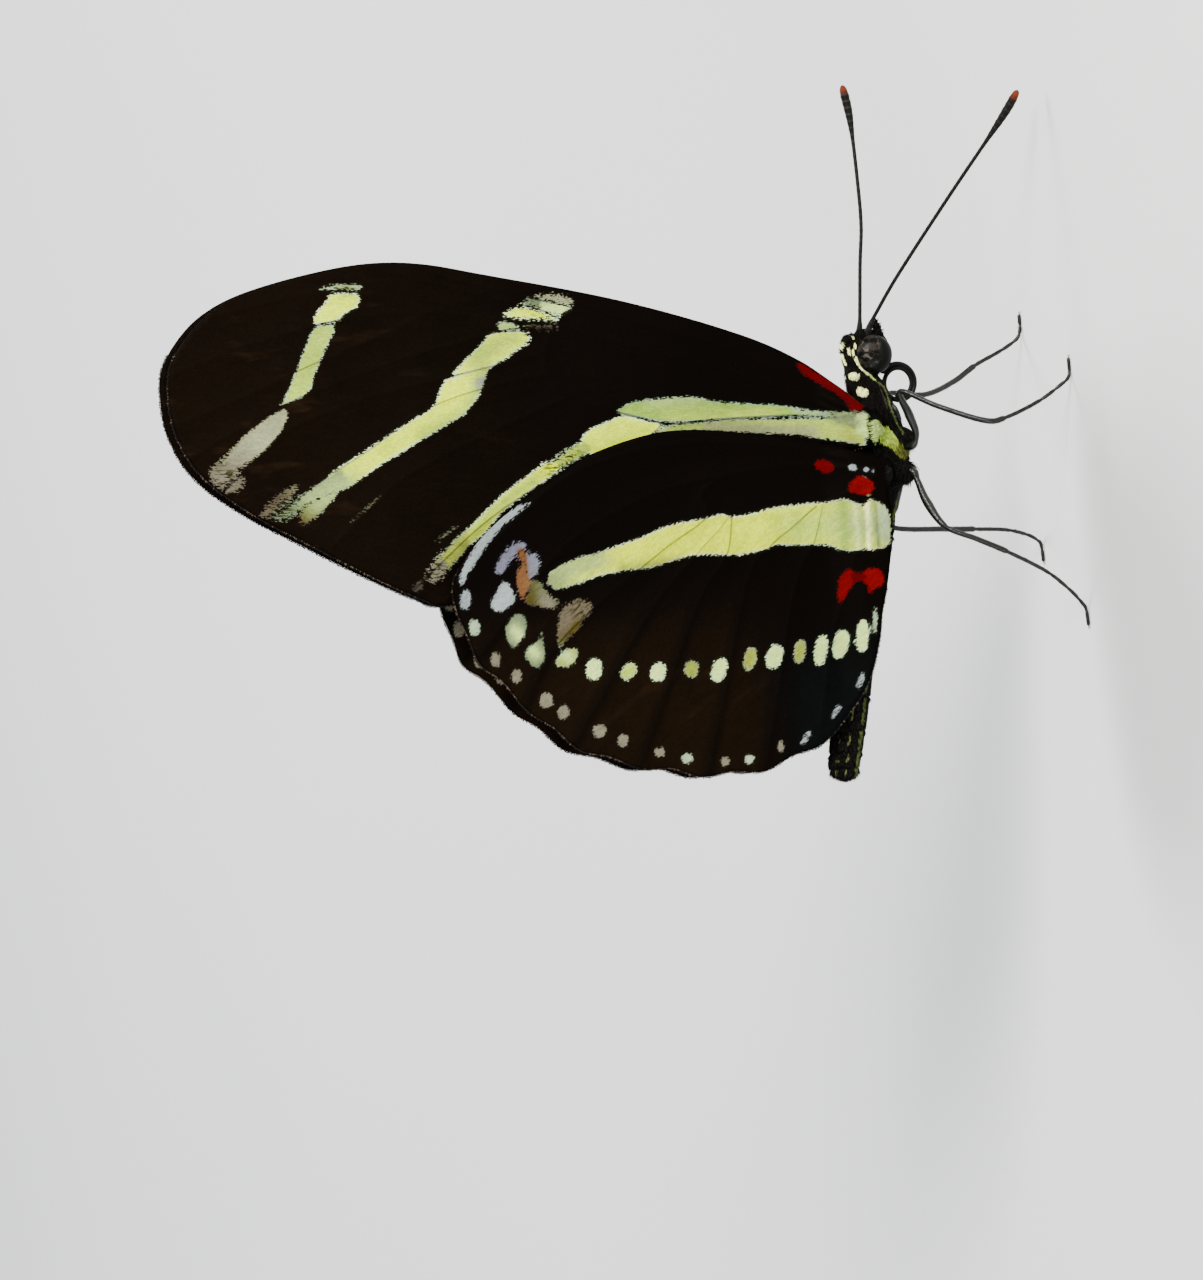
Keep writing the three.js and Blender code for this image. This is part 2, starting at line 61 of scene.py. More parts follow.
lights = {
    # name: (place, size, watts, colour)
    "key": ((330, -430, 330), 260, 9.0, (1.0, 0.985, 0.96)),
    "fill": ((-320, -420, 120), 320, 2.4, (0.93, 0.97, 1.0)),
    "rim": ((160, 330, 420), 220, 4.0, (1.0, 1.0, 1.0)),
}
lightAim = (0, 0, 25)
room = {"colour": (0.88, 0.92, 0.95, 1), "strength": 0.55}


def makeCamera():
    tilt = math.radians(view["lookDown"])
    roll = math.radians(view["roll"])
    ahead = Vector((0, math.cos(tilt), -math.sin(tilt)))
    above = Vector((0, math.sin(tilt), math.cos(tilt)))
    along = Vector((1, 0, 0))
    right = -math.sin(roll) * along - math.cos(roll) * above
    up = math.cos(roll) * along - math.sin(roll) * above
    place = Vector(view["aim"]) - view["distance"] * ahead
    turn = Matrix((right, up, -ahead)).transposed().to_4x4()
    data = bpy.data.cameras.new("camera")
    data.sensor_width = view["sensor"]
    data.lens = view["pixelsPerMm"] * view["distance"] * view["sensor"] / view["pictureHeight"]
    data.clip_start, data.clip_end = view["clip"]
    camera = bpy.data.objects.new("camera", data)
    camera.matrix_world = Matrix.Translation(place * mm) @ turn
    bpy.context.scene.collection.objects.link(camera)
    bpy.context.scene.camera = camera


def makeLights():
    for name, (place, size, watts, colour) in lights.items():
        data = bpy.data.lights.new(name, "AREA")
        data.energy = watts
        data.size = size * mm
        data.color = colour
        lamp = bpy.data.objects.new(name, data)
        lamp.location = Vector(place) * mm
        lamp.rotation_euler = (Vector(lightAim) - Vector(place)).to_track_quat("-Z", "Y").to_euler()
        bpy.context.scene.collection.objects.link(lamp)
    world = bpy.data.worlds.new("softRoom")
    world.use_nodes = True
    background = world.node_tree.nodes["Background"]
    background.inputs["Color"].default_value = room["colour"]
    background.inputs["Strength"].default_value = room["strength"]
    bpy.context.scene.world = world


# Materials

def linear(red, green, blue):
    shares = [v / 255 for v in (red, green, blue)]
    return tuple(s / 12.92 if s <= 0.04045 else ((s + 0.055) / 1.055) ** 2.4 for s in shares)


def addNode(tree, kind, inputs=None, **settings):
    node = tree.nodes.new("ShaderNode" + kind)
    for key, value in settings.items():
        setattr(node, key, value)
    for key, value in (inputs or {}).items():
        if isinstance(value, bpy.types.NodeSocket):
            tree.links.new(value, node.inputs[key])
        elif isinstance(value, tuple) and len(value) == 3 and node.inputs[key].type == "RGBA":
            node.inputs[key].default_value = (*value, 1)
        else:
            node.inputs[key].default_value = value
    return node


def blend(tree, share, first, second):
    # colour mix: sockets 0, 6 and 7 are the share and the two colours
    node = addNode(tree, "Mix", {0: share, 6: first, 7: second}, data_type="RGBA")
    return node.outputs[2]


def between(tree, value, low, high, toLow=0.0, toHigh=1.0):
    inputs = {"Value": value, "From Min": low, "From Max": high, "To Min": toLow, "To Max": toHigh}
    return addNode(tree, "MapRange", inputs, interpolation_type="SMOOTHSTEP").outputs["Result"]


def maths(tree, operation, first, second):
    return addNode(tree, "Math", {0: first, 1: second}, operation=operation).outputs["Value"]


def vectorMaths(tree, operation, first, second):
    return addNode(tree, "VectorMath", {0: first, 1: second}, operation=operation).outputs["Vector"]


def toned(tree, colour, tone):
    # a colour made lighter or darker
    return addNode(tree, "VectorMath", {0: colour, "Scale": tone}, operation="SCALE").outputs["Vector"]


def newMaterial(name, roughness, specular):
    material = bpy.data.materials.new(name)
    material.use_nodes = True
    tree = material.node_tree
    surface = tree.nodes["Principled BSDF"]
    surface.inputs["Roughness"].default_value = roughness
    surface.inputs["Specular IOR Level"].default_value = specular
    coords = addNode(tree, "TexCoord").outputs["Object"]
    return material, tree, surface, coords


def noiseOf(tree, coords, perMm, detail=2.0, roughness=0.5):
    inputs = {"Vector": coords, "Scale": perMm / mm, "Detail": detail, "Roughness": roughness}
    return addNode(tree, "TexNoise", inputs).outputs["Fac"]


def cellsOf(tree, coords, perMm):
    return addNode(tree, "TexVoronoi", {"Vector": coords, "Scale": perMm / mm})


def colourTo(tree, surface, colour):
    tree.links.new(colour, surface.inputs["Base Color"])


def reliefTo(tree, surface, height, depth, strength):
    bump = addNode(tree, "Bump", {"Height": height, "Distance": depth * mm, "Strength": strength})
    tree.links.new(bump.outputs["Normal"], surface.inputs["Normal"])


def floatOf(tree, name):
    return addNode(tree, "Attribute", attribute_name=name).outputs["Fac"]


def colourOf(tree, name):
    return addNode(tree, "Attribute", attribute_name=name).outputs["Color"]


def wingMaterial():
    # markEdge is the distance to the nearest marking's edge in mm, less than 0 inside it, and fray says
    # how far that edge breaks up; lie is the place along and across the scales, veinLine is 1 on a vein,
    # fleck is how thickly dark scales are strewn over a marking
    material, tree, surface, coords = newMaterial("wingScales", 0.62, 0.02)
    lie = addNode(tree, "Attribute", attribute_name="lie").outputs["Vector"]
    strands = vectorMaths(tree, "MULTIPLY", lie, (0.3, 1.0, 1.0))
    cells = cellsOf(tree, vectorMaths(tree, "MULTIPLY", lie, (0.5, 1.0, 1.0)), 15.0)
    scale = addNode(tree, "SeparateColor", {"Color": cells.outputs["Color"]}).outputs["Red"]
    ragged = maths(tree, "SUBTRACT", noiseOf(tree, strands, 9.0, 2.0, 0.7), 0.5)
    uneven = maths(tree, "MULTIPLY", maths(tree, "SUBTRACT", scale, 0.5), 0.16)
    broken = maths(tree, "ADD", maths(tree, "MULTIPLY", ragged, 0.3), uneven)
    inside = floatOf(tree, "markEdge")
    edge = maths(tree, "ADD", inside, maths(tree, "MULTIPLY", broken, floatOf(tree, "fray")))
    marked = between(tree, edge, -0.05, 0.03, 1.0, 0.0)
    shade = between(tree, scale, 0.0, 1.0, 0.84, 1.12)
    drift = between(tree, noiseOf(tree, coords, 0.35, 3.0), 0.3, 0.7, 0.86, 1.1)
    grain = between(tree, noiseOf(tree, strands, 3.0, 3.0, 0.6), 0.3, 0.7, 0.9, 1.08)
    tone = maths(tree, "MULTIPLY", maths(tree, "MULTIPLY", shade, drift), grain)
    mark = colourOf(tree, "mark")
    # towards its edge a yellow marking turns whitish
    green = addNode(tree, "SeparateColor", {"Color": mark}).outputs["Green"]
    whitish = maths(tree, "MULTIPLY", green, between(tree, inside, -0.16, 0.0, 0.0, 0.6))
    rim = addNode(tree, "CombineXYZ", {"Z": whitish}).outputs["Vector"]
    rimmed = vectorMaths(tree, "MAXIMUM", mark, rim)
    flecks = maths(tree, "MULTIPLY", between(tree, noiseOf(tree, strands, 6.0, 2.0, 0.6), 0.5, 0.57),
                   floatOf(tree, "fleck"))
    flecked = blend(tree, flecks, rimmed, linear(32, 29, 4))
    # a vein's line over a marking is the marking's own colour, darkened
    inky = vectorMaths(tree, "MULTIPLY", flecked, (0.3, 0.28, 0.34))
    inked = blend(tree, between(tree, floatOf(tree, "veinLine"), 0.2, 0.65, 0.0, 0.85), flecked, inky)
    dusty = between(tree, noiseOf(tree, strands, 0.5, 3.0, 0.65), 0.56, 0.8, 0.0, 0.5)
    ground = blend(tree, maths(tree, "MULTIPLY", dusty, floatOf(tree, "dust")), colourOf(tree, "ground"),
                   linear(60, 42, 26))
    halo = toned(tree, mark, between(tree, inside, 0.0, 0.2, 0.006, 0.0))
    plain = blend(tree, marked, vectorMaths(tree, "ADD", ground, halo), inked)
    colourTo(tree, surface, toned(tree, plain, tone))
    height = maths(tree, "ADD", cells.outputs["Distance"], noiseOf(tree, strands, 9.0, 1.0))
    reliefTo(tree, surface, height, 0.02, 0.6)
    return material


def tuftMaterial(name, roughness, specular, perMm, darkest, palest):
    # every tuft has one colour of its own, made a little uneven from place to place
    material, tree, surface, coords = newMaterial(name, roughness, specular)
    tone = between(tree, noiseOf(tree, coords, perMm), 0.3, 0.7, darkest, palest)
    colourTo(tree, surface, toned(tree, colourOf(tree, "tuft"), tone))
    return material


def skinMaterial():
    material, tree, surface, coords = newMaterial("bodyScales", 0.6, 0.08)
    ragged = maths(tree, "SUBTRACT", noiseOf(tree, coords, 9.0, 2.0, 0.6), 0.5)
    edge = maths(tree, "ADD", floatOf(tree, "markEdge"), maths(tree, "MULTIPLY", ragged, 0.2))
    marked = between(tree, edge, -0.03, 0.03, 1.0, 0.0)
    grain = between(tree, noiseOf(tree, coords, 6.0, 4.0, 0.6), 0.3, 0.7, 0.7, 1.3)
    dark = blend(tree, noiseOf(tree, coords, 1.2, 2.0), linear(4, 3, 2), linear(10, 8, 6))
    plain = blend(tree, marked, dark, colourOf(tree, "mark"))
    colourTo(tree, surface, toned(tree, plain, grain))
    cells = cellsOf(tree, coords, 9.0)
    reliefTo(tree, surface, cells.outputs["Distance"], 0.05, 0.8)
    return material


def eyeMaterial():
    material, tree, surface, coords = newMaterial("eyeFacets", 0.34, 0.05)
    # mottled with painted glints on the upper half, and almost black below and behind as painted shade
    parts = addNode(tree, "SeparateXYZ", {"Vector": coords})
    before = maths(tree, "SUBTRACT", eyes["darkBehind"] * mm, parts.outputs["X"])
    behind = maths(tree, "MAXIMUM", before, 0.0)
    height = maths(tree, "SUBTRACT", parts.outputs["Z"], maths(tree, "MULTIPLY", behind, 1.3))
    height = maths(tree, "ADD", height, maths(tree, "MULTIPLY", noiseOf(tree, coords, 2.0), 0.5 * mm))
    upper = between(tree, height, eyes["darkBelow"] * mm, eyes["mottledAbove"] * mm)
    blotches = between(tree, noiseOf(tree, coords, 1.7, 3.0, 0.6), 0.42, 0.56)
    base = blend(tree, maths(tree, "MULTIPLY", blotches, upper), linear(4, 4, 3), linear(36, 32, 27))
    glints = maths(tree, "MULTIPLY", between(tree, noiseOf(tree, coords, 3.2, 2.0), 0.55, 0.63), upper)
    base = blend(tree, glints, base, linear(62, 57, 49))
    specks = between(tree, noiseOf(tree, coords, 2.6, 1.0), 0.58, 0.64)
    colourTo(tree, surface, blend(tree, maths(tree, "MULTIPLY", specks, 0.9), base, linear(3, 3, 2)))
    cells = cellsOf(tree, coords, 26.0)
    reliefTo(tree, surface, maths(tree, "SUBTRACT", 1.0, cells.outputs["Distance"]), 0.012, 0.5)
    surface.inputs["Coat Weight"].default_value = 0.03
    surface.inputs["Coat Roughness"].default_value = 0.15
    return material


def cuticleMaterial(name, dark, light, roughness, specular):
    material, tree, surface, coords = newMaterial(name, roughness, specular)
    share = between(tree, noiseOf(tree, coords, 2.2, 4.0, 0.6), 0.3, 0.75)
    colourTo(tree, surface, blend(tree, share, dark, light))
    cells = cellsOf(tree, coords, 16.0)
    reliefTo(tree, surface, cells.outputs["Distance"], 0.02, 0.6)
    return material


def antennaMaterial():
    # ringShade is 1 on the pale ring of each segment, clubShade rises to 1 at the tip
    material, tree, surface, coords = newMaterial("antennaRings", 0.45, 0.06)
    dark = blend(tree, noiseOf(tree, coords, 3.0, 3.0), linear(5, 4, 4), linear(16, 14, 12))
    ringed = blend(tree, maths(tree, "MULTIPLY", floatOf(tree, "ringShade"), 0.2), dark, linear(84, 80, 72))
    colourTo(tree, surface, blend(tree, floatOf(tree, "clubShade"), ringed, linear(96, 36, 12)))
    cells = cellsOf(tree, coords, 18.0)
    reliefTo(tree, surface, cells.outputs["Distance"], 0.015, 0.5)
    return material


def floorMaterial():
    material, tree, surface, coords = newMaterial("paleFloor", 0.7, 0.2)
    cloudy = between(tree, noiseOf(tree, coords, 0.004, 2.0), 0.3, 0.7)
    colourTo(tree, surface, blend(tree, cloudy, linear(226, 228, 226), linear(232, 233, 231)))
    return material


# Making pieces

def setFloat(mesh, name, values):
    mesh.attributes.new(name, "FLOAT", "POINT").data.foreach_set("value", np.asarray(values, np.float32))


def setColour(mesh, name, rows):
    filled = np.ones((len(rows), 4), np.float32)
    filled[:, :3] = rows
    mesh.attributes.new(name, "FLOAT_COLOR", "POINT").data.foreach_set("color", filled.ravel())


def ontoMap(shares):
    # shares of the unwrap from 0 to 1, kept off its rim
    return 0.02 + 0.96 * shares


def setUnwrap(mesh, spots):
    # spots are the places of the mesh's points on the unwrap
    corners = np.empty(len(mesh.loops), np.int32)
    mesh.loops.foreach_get("vertex_index", corners)
    mesh.uv_layers.new(name="OFBake").data.foreach_set("uv", spots[corners].astype(np.float32).ravel())


def meshOf(name, points, faces):
    # triangles given as an array, made in one go
    faces = np.asarray(faces, np.int32)
    mesh = bpy.data.meshes.new(name)
    mesh.vertices.add(len(points))
    mesh.vertices.foreach_set("co", (np.asarray(points) * mm).astype(np.float32).ravel())
    mesh.loops.add(faces.size)
    mesh.loops.foreach_set("vertex_index", faces.ravel())
    mesh.polygons.add(len(faces))
    mesh.polygons.foreach_set("loop_start", np.arange(0, faces.size, faces.shape[1], dtype=np.int32))
    mesh.update(calc_edges=True)
    mesh.validate()
    return mesh


def meshFrom(bm, name):
    bmesh.ops.scale(bm, vec=(mm, mm, mm), verts=bm.verts)
    mesh = bpy.data.meshes.new(name)
    bm.to_mesh(mesh)
    bm.free()
    return mesh


def finishPiece(name, mesh, material, replaces=()):
    mesh.materials.append(material)
    mesh.polygons.foreach_set("use_smooth", np.full(len(mesh.polygons), True))
    piece = bpy.data.objects.new(name, mesh)
    bpy.context.scene.collection.objects.link(piece)
    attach(piece, "root")
    if replaces:
        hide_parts(*replaces)
    return piece


def pointsOf(mesh):
    points = np.empty(len(mesh.vertices) * 3, np.float32)
    mesh.vertices.foreach_get("co", points)
    return points.reshape(-1, 3).astype(float) / mm


def smoothStep(value, low, high):
    share = np.clip((np.asarray(value, float) - low) / (high - low), 0, 1)
    return share * share * (3 - 2 * share)


def curveThrough(points, step, closed=False):
    # a smooth curve through all the points, given as even places about step apart
    ends = np.array(points, float)
    finePoints = 40
    if closed:
        around = np.vstack([ends[-1], ends, ends[:2]])
    else:
        around = np.vstack([2 * ends[0] - ends[1], ends, 2 * ends[-1] - ends[-2]])
    dense = []
    for a, b, c, d in zip(around, around[1:], around[2:], around[3:]):
        t = np.linspace(0, 1, finePoints, endpoint=False)[:, None]
        dense.append(0.5 * (2 * b + (c - a) * t + (2 * a - 5 * b + 4 * c - d) * t**2
                            + (3 * b - a - 3 * c + d) * t**3))
    dense = np.vstack(dense + [[ends[0] if closed else ends[-1]]])
    walked = np.concatenate([[0], np.cumsum(np.linalg.norm(np.diff(dense, axis=0), axis=1))])
    count = max(int(round(walked[-1] / step)), 2)
    stops = np.linspace(0, walked[-1], count + 1)[: count if closed else count + 1]
    return np.stack([np.interp(stops, walked, dense[:, k]) for k in range(dense.shape[1])], 1)


def gapToPath(places, path, closed=False):
    # shortest distance from each place to a broken line
    starts, ends = (path, np.roll(path, -1, 0)) if closed else (path[:-1], path[1:])
    best = np.full(len(places), 1e9)
    for a, b in zip(starts, ends):
        way = b - a
        share = np.clip(((places - a) @ way) / max(way @ way, 1e-12), 0, 1)
        best = np.minimum(best, np.linalg.norm(places - a - share[:, None] * way, axis=1))
    return best


def within(places, path):
    # which places lie inside a closed line
    inside = np.zeros(len(places), bool)
    for a, b in zip(path, np.roll(path, -1, 0)):
        if a[1] == b[1]:
            continue
        crosses = (a[1] > places[:, 1]) != (b[1] > places[:, 1])
        reach = a[0] + (places[:, 1] - a[1]) * (b[0] - a[0]) / (b[1] - a[1])
        inside ^= crosses & (places[:, 0] < reach)
    return inside


def edgeOf(places, path):
    # signed distance to a closed line, less than 0 inside
    return np.where(within(places, path), -1, 1) * gapToPath(places, path, closed=True)


# Colours of the markings

paint = {
    "cream": linear(190, 208, 24),
    "creamWarm": linear(176, 188, 8),
    "creamGreen": linear(141, 160, 58),
    "creamGrey": linear(128, 144, 84),
    "milk": linear(238, 242, 160),
    "ivory": linear(168, 190, 106),
    "pistachio": linear(112, 138, 50),
    "oliveGrey": linear(89, 92, 34),
    "moss": linear(70, 78, 42),
    "pearl": linear(128, 144, 116),
    "sage": linear(88, 100, 72),
    "straw": linear(117, 126, 45),
    "shell": linear(121, 123, 92),
    "ash": linear(96, 92, 76),
    "smoke": linear(52, 49, 40),
    "blueWhite": linear(118, 126, 125),
    "lilacGrey": linear(90, 90, 102),
    "orange": linear(90, 58, 32),
    "olive": linear(58, 52, 8),
    "pinkBrown": linear(74, 66, 52),
    "tan": linear(52, 30, 8),
    "scarlet": linear(88, 1, 1),
    "darkRed": linear(70, 0, 1),
    "crimson": linear(64, 0, 2),
    "brightYellow": linear(182, 168, 14),
    "lime": linear(58, 68, 32),
}
greys = ("ash", "pearl", "sage", "blueWhite", "lilacGrey")
reds = ("scarlet", "darkRed", "crimson")
farOff = 9.0                  # stands for no marking near


# Wings: places are (x, z) in mm from the wing's hinge

foreWing = {
    "kind": "forewing",
    "hinge": (0.0, 12.0),
    "heading": 0.08,          # the middle line's turn from straight up, in radians
    "outline": [
        (1.0, -0.6), (1.1, 0.0), (2.7, 1.6), (4.3, 3.5), (6.2, 7.1), (8.8, 14.3), (10.9, 22.2),
        (11.9, 26.2), (12.2, 29.5), (11.9, 33.0), (11.1, 36.9), (10.1, 39.3), (8.7, 41.0), (6.8, 42.2),
        (4.4, 42.4), (2.2, 41.9), (0.1, 40.6), (-2.1, 38.0), (-4.3, 34.5), (-6.6, 30.7), (-8.0, 28.1),
        (-8.5, 26.6), (-7.9, 22.0), (-6.7, 17.0), (-4.5, 10.6), (-2.1, 4.1), (-1.1, 0.0), (-1.0, -0.6),
    ],
    # how dark each vein's line is where it crosses a marking, and its path
    "veins": [
        (0.2, [(0.9, 0.6), (5.0, 7.2), (7.8, 14.4), (9.5, 18.6), (11.0, 22.5)]),
        (0.9, [(0.55, 0.6), (3.3, 6.1), (5.5, 12.1), (6.9, 16.4), (7.8, 18.6), (8.2, 21.6), (9.0, 26.1),
               (9.0, 31.3), (8.0, 36.9), (6.5, 42.2)]),
        (1.0, [(0.3, 0.6), (1.0, 3.6), (1.2, 8.8), (1.2, 11.9), (1.8, 14.1), (2.4, 15.8), (3.5, 18.3),
               (4.7, 19.2), (6.1, 19.3), (7.3, 18.7)]),
        (0.0, [(-0.5, 0.6), (-1.1, 6.5), (-3.2, 14.2), (-6.2, 21.9), (-8.4, 27.0)]),
        (0.9, [(5.5, 12.1), (7.4, 15.2), (8.7, 17.6), (9.2, 19.3), (10.6, 23.6), (11.9, 27.0)]),
        (0.8, [(6.9, 16.4), (8.3, 18.7), (8.9, 20.1), (11.0, 26.4), (12.2, 30.4)]),
        (0.5, [(8.5, 23.2), (9.4, 25.1), (10.6, 28.1), (11.3, 31.0), (11.7, 34.0)]),
        (0.9, [(9.0, 26.1), (9.9, 28.2), (10.7, 31.5), (10.6, 34.3), (9.7, 39.8)]),
        (0.66, [(8.9, 26.4), (7.6, 30.1), (6.1, 34.6), (4.8, 38.0), (3.5, 42.2)]),
        (0.8, [(7.4, 18.9), (7.6, 21.3), (6.8, 25.9), (5.9, 29.9), (4.1, 35.7), (1.5, 41.5)]),
        (0.8, [(6.0, 19.3), (5.1, 25.0), (4.2, 30.4), (2.7, 35.3), (0.6, 38.0), (-0.7, 39.8)]),
        (0.64, [(4.7, 19.2), (4.6, 21.1), (3.4, 26.4), (1.0, 30.7), (-0.5, 33.6), (-2.6, 37.0)]),
        (0.4, [(3.3, 18.0), (1.6, 22.9), (0.1, 26.8), (-1.2, 29.3), (-4.5, 33.3)]),
        (0.75, [(1.3, 12.3), (0.5, 13.4), (0.0, 15.0), (-0.7, 17.5), (-2.2, 21.0), (-4.1, 24.3),
                (-7.4, 28.5)]),
    ],
    # markings of the underside; later ones lie over earlier ones
    "blots": [
        # band across the tip
        ("creamGrey", [(10.9, 32.7), (11.1, 31.6), (10.9, 30.1), (10.7, 30.4), (10.8, 31.6)]),
        ("cream", [(10.55, 32.0), (10.4, 30.4), (9.7, 30.5), (9.3, 31.4), (8.95, 31.8), (8.85, 33.2),
                   (9.4, 33.1), (10.1, 32.4)]),
        ("creamGreen", [(8.6, 33.2), (8.6, 32.0), (7.3, 32.7), (6.0, 33.4), (4.8, 34.0), (4.2, 35.7),
                        (4.8, 35.3), (6.1, 34.6), (7.5, 33.9)]),
        ("shell", [(3.9, 35.7), (3.7, 35.3), (2.8, 35.7), (1.6, 36.9), (0.8, 38.3), (0.1, 39.2),
                   (0.8, 39.9), (1.6, 39.1), (3.0, 37.4)]),
        ("pinkBrown", [(0.7, 40.3), (1.1, 39.7), (0.7, 38.8), (0.1, 39.1), (-0.5, 39.8), (0.2, 40.3)]),
        ("pinkBrown", [(-0.5, 39.5), (0.0, 39.1), (0.1, 38.4), (-0.4, 38.4), (-0.8, 39.1)]),
        # long middle band, from the leading edge
        ("shell", [(9.5, 19.4), (9.4, 18.2), (9.0, 17.2), (8.8, 17.6), (9.1, 18.6), (9.3, 19.4)]),
        ("ivory", [(9.1, 19.3), (9.0, 18.5), (8.6, 17.4), (8.2, 18.3), (8.7, 19.4)]),
        ("sage", [(9.4, 20.0), (9.2, 19.3), (8.8, 19.4), (8.9, 20.0), (9.1, 20.3)]),
        ("cream", [(8.5, 21.7), (8.9, 20.6), (8.6, 19.4), (8.0, 18.3), (7.9, 18.6), (8.1, 19.8),
                   (8.3, 21.3)]),
        ("creamGrey", [(7.9, 22.1), (8.1, 21.6), (7.7, 20.7), (7.6, 21.2), (7.6, 21.9)]),
        ("cream", [(7.4, 22.6), (7.5, 21.5), (7.4, 20.5), (6.9, 20.1), (6.3, 21.0), (5.6, 22.4),
                   (5.1, 25.0), (5.9, 24.3), (6.9, 23.1)]),
        ("cream", [(5.6, 22.5), (5.2, 22.9), (3.9, 23.5), (2.8, 24.5), (1.9, 26.3), (0.2, 29.8),
                   (-1.1, 32.3), (-0.3, 33.2), (1.1, 30.7), (2.5, 28.1), (3.4, 26.4), (4.7, 25.7),
                   (5.0, 25.1)]),
        ("sage", [(-0.3, 33.1), (0.1, 32.4), (-1.0, 32.0), (-1.3, 33.4), (-2.2, 35.2), (-2.6, 36.2),
                  (-2.3, 36.6), (-1.3, 34.9), (-0.6, 33.7)]),
        ("tan", [(-2.9, 35.0), (-2.2, 35.1), (-1.7, 34.3), (-1.2, 32.7), (-1.9, 33.2), (-2.8, 34.4)]),
        ("pinkBrown", [(-2.2, 37.5), (-1.5, 36.8), (-0.9, 35.9), (-0.6, 35.0), (-1.1, 35.4), (-1.8, 36.3),
                       (-2.4, 37.1)]),
        # the stripe from the root, bent down into a long blade
        ("pistachio", [(0.9, 0.7), (1.3, 3.1), (1.7, 4.8), (2.0, 7.0), (2.3, 9.0), (2.7, 10.6),
                       (2.7, 13.7), (2.5, 14.7), (2.1, 15.1), (1.7, 13.7), (1.3, 11.9), (1.2, 9.3),
                       (1.1, 5.8), (1.0, 3.6), (0.7, 1.2)]),
        ("moss", [(0.85, 0.5), (0.75, 1.9), (0.7, 3.0), (0.4, 2.3), (0.0, 1.4), (-0.5, 0.6), (0.2, 0.3)]),
        ("creamGreen", [(1.1, 12.0), (1.1, 9.2), (1.1, 7.6), (0.9, 4.9), (0.7, 2.3), (0.3, 1.5),
                        (-0.4, 0.5), (-1.1, 0.2), (-0.8, 1.3), (-0.4, 2.9), (-0.1, 4.1), (0.3, 7.2),
                        (0.6, 9.8), (0.7, 11.5), (0.55, 12.7)]),
        ("cream", [(1.9, 14.9), (1.6, 15.8), (1.2, 17.0), (0.4, 17.6), (-0.1, 17.5), (-0.3, 16.2),
                   (0.1, 15.0), (0.4, 13.7), (1.1, 12.4), (1.6, 13.8)]),
        ("creamGreen", [(0.5, 17.2), (0.35, 18.0), (-0.2, 18.9), (-0.75, 19.8), (-1.2, 19.4),
                        (-0.8, 18.6), (-0.5, 17.9), (-0.1, 17.1)]),
        ("cream", [(-0.5, 19.7), (-1.1, 20.8), (-2.2, 22.6), (-3.8, 24.6), (-4.9, 26.0), (-5.3, 25.6),
                   (-4.5, 24.0), (-3.4, 22.9), (-2.3, 21.2), (-1.4, 19.6), (-0.9, 18.9)]),
        ("straw", [(-4.5, 25.3), (-5.2, 26.4), (-6.2, 27.4), (-6.9, 27.6), (-6.9, 27.1), (-6.1, 26.0),
                   (-5.1, 25.0)]),
        ("ash", [(-5.6, 26.6), (-6.2, 27.4), (-6.9, 27.7), (-7.0, 27.1), (-6.4, 26.4)]),
        ("smoke", [(-7.3, 28.6), (-7.0, 28.2), (-7.2, 27.9), (-7.6, 28.4)]),
        ("ivory", [(0.85, 0.6), (0.85, 0.1), (0.5, -0.2), (-0.1, -0.25), (-0.55, -0.1), (-0.6, 0.4),
                   (-0.2, 0.7), (0.4, 0.75)]),
        ("crimson", [(4.3, 3.7), (3.2, 2.1), (2.1, 0.6), (1.1, 0.2), (1.0, 0.8), (1.8, 1.3), (2.7, 2.3),
                     (3.6, 3.5)]),
    ],
    # colour, x, z, length, width, turn from straight back towards up, in degrees
    "spots": [
        ("smoke", 7.6, 19.3, 2.0, 0.2, 98),
        ("smoke", -2.4, 31.1, 2.6, 0.13, 55),
        ("smoke", -4.2, 26.2, 1.8, 0.14, 58),
    ],
    # soft changes of colour: colour, reach, path
    "washes": [
        ("creamGreen", 1.2, [(7.6, 33.0), (6.4, 33.4)]),
        ("ash", 1.3, [(0.0, 39.9), (0.7, 38.6)]),
        ("creamGreen", 0.8, [(7.0, 21.4), (6.0, 23.6)]),
        ("creamGreen", 0.5, [(5.2, 23.0), (2.9, 24.4), (1.6, 27.0)]),
        ("lilacGrey", 0.45, [(4.6, 23.1), (4.5, 23.4)]),
        ("creamGreen", 0.35, [(1.3, 5.5), (1.4, 9.0), (1.6, 12.0)]),
        ("creamGrey", 0.4, [(2.6, 9.4), (2.75, 13.0)]),
        ("sage", 0.35, [(1.05, 0.5), (1.1, 2.4)]),
        ("pearl", 0.3, [(1.2, 2.4), (1.4, 4.0)]),
        ("sage", 0.3, [(0.3, 0.6), (0.5, 1.6)]),
        ("shell", 0.42, [(-0.05, 3.1), (0.4, 6.8), (0.7, 9.6)]),
        ("straw", 0.5, [(-0.2, 1.3), (-0.8, 0.8)]),
        ("creamGrey", 1.1, [(-1.0, 32.2), (-1.6, 34.0)]),
        ("straw", 0.7, [(-4.4, 25.2), (-5.0, 25.9)]),
        ("creamGreen", 0.35, [(-1.5, 20.6), (-3.2, 23.3), (-4.4, 24.6)]),
    ],
    # places where a marking's edge breaks up into single scales, or stays smooth: x, z, reach, how much
    "frayed": [
        (-0.2, 18.4, 1.0, 1.6), (-0.8, 19.4, 0.8, 1.2), (-6.3, 27.3, 1.3, 2.6), (-2.2, 36.0, 1.5, 2.2),
        (0.2, 39.4, 1.4, 2.2), (9.0, 20.2, 0.7, 1.8), (9.5, 18.0, 0.8, 2.0), (7.6, 19.3, 1.2, 1.8),
    ],
    # places strewn with dark scales: x, z, reach
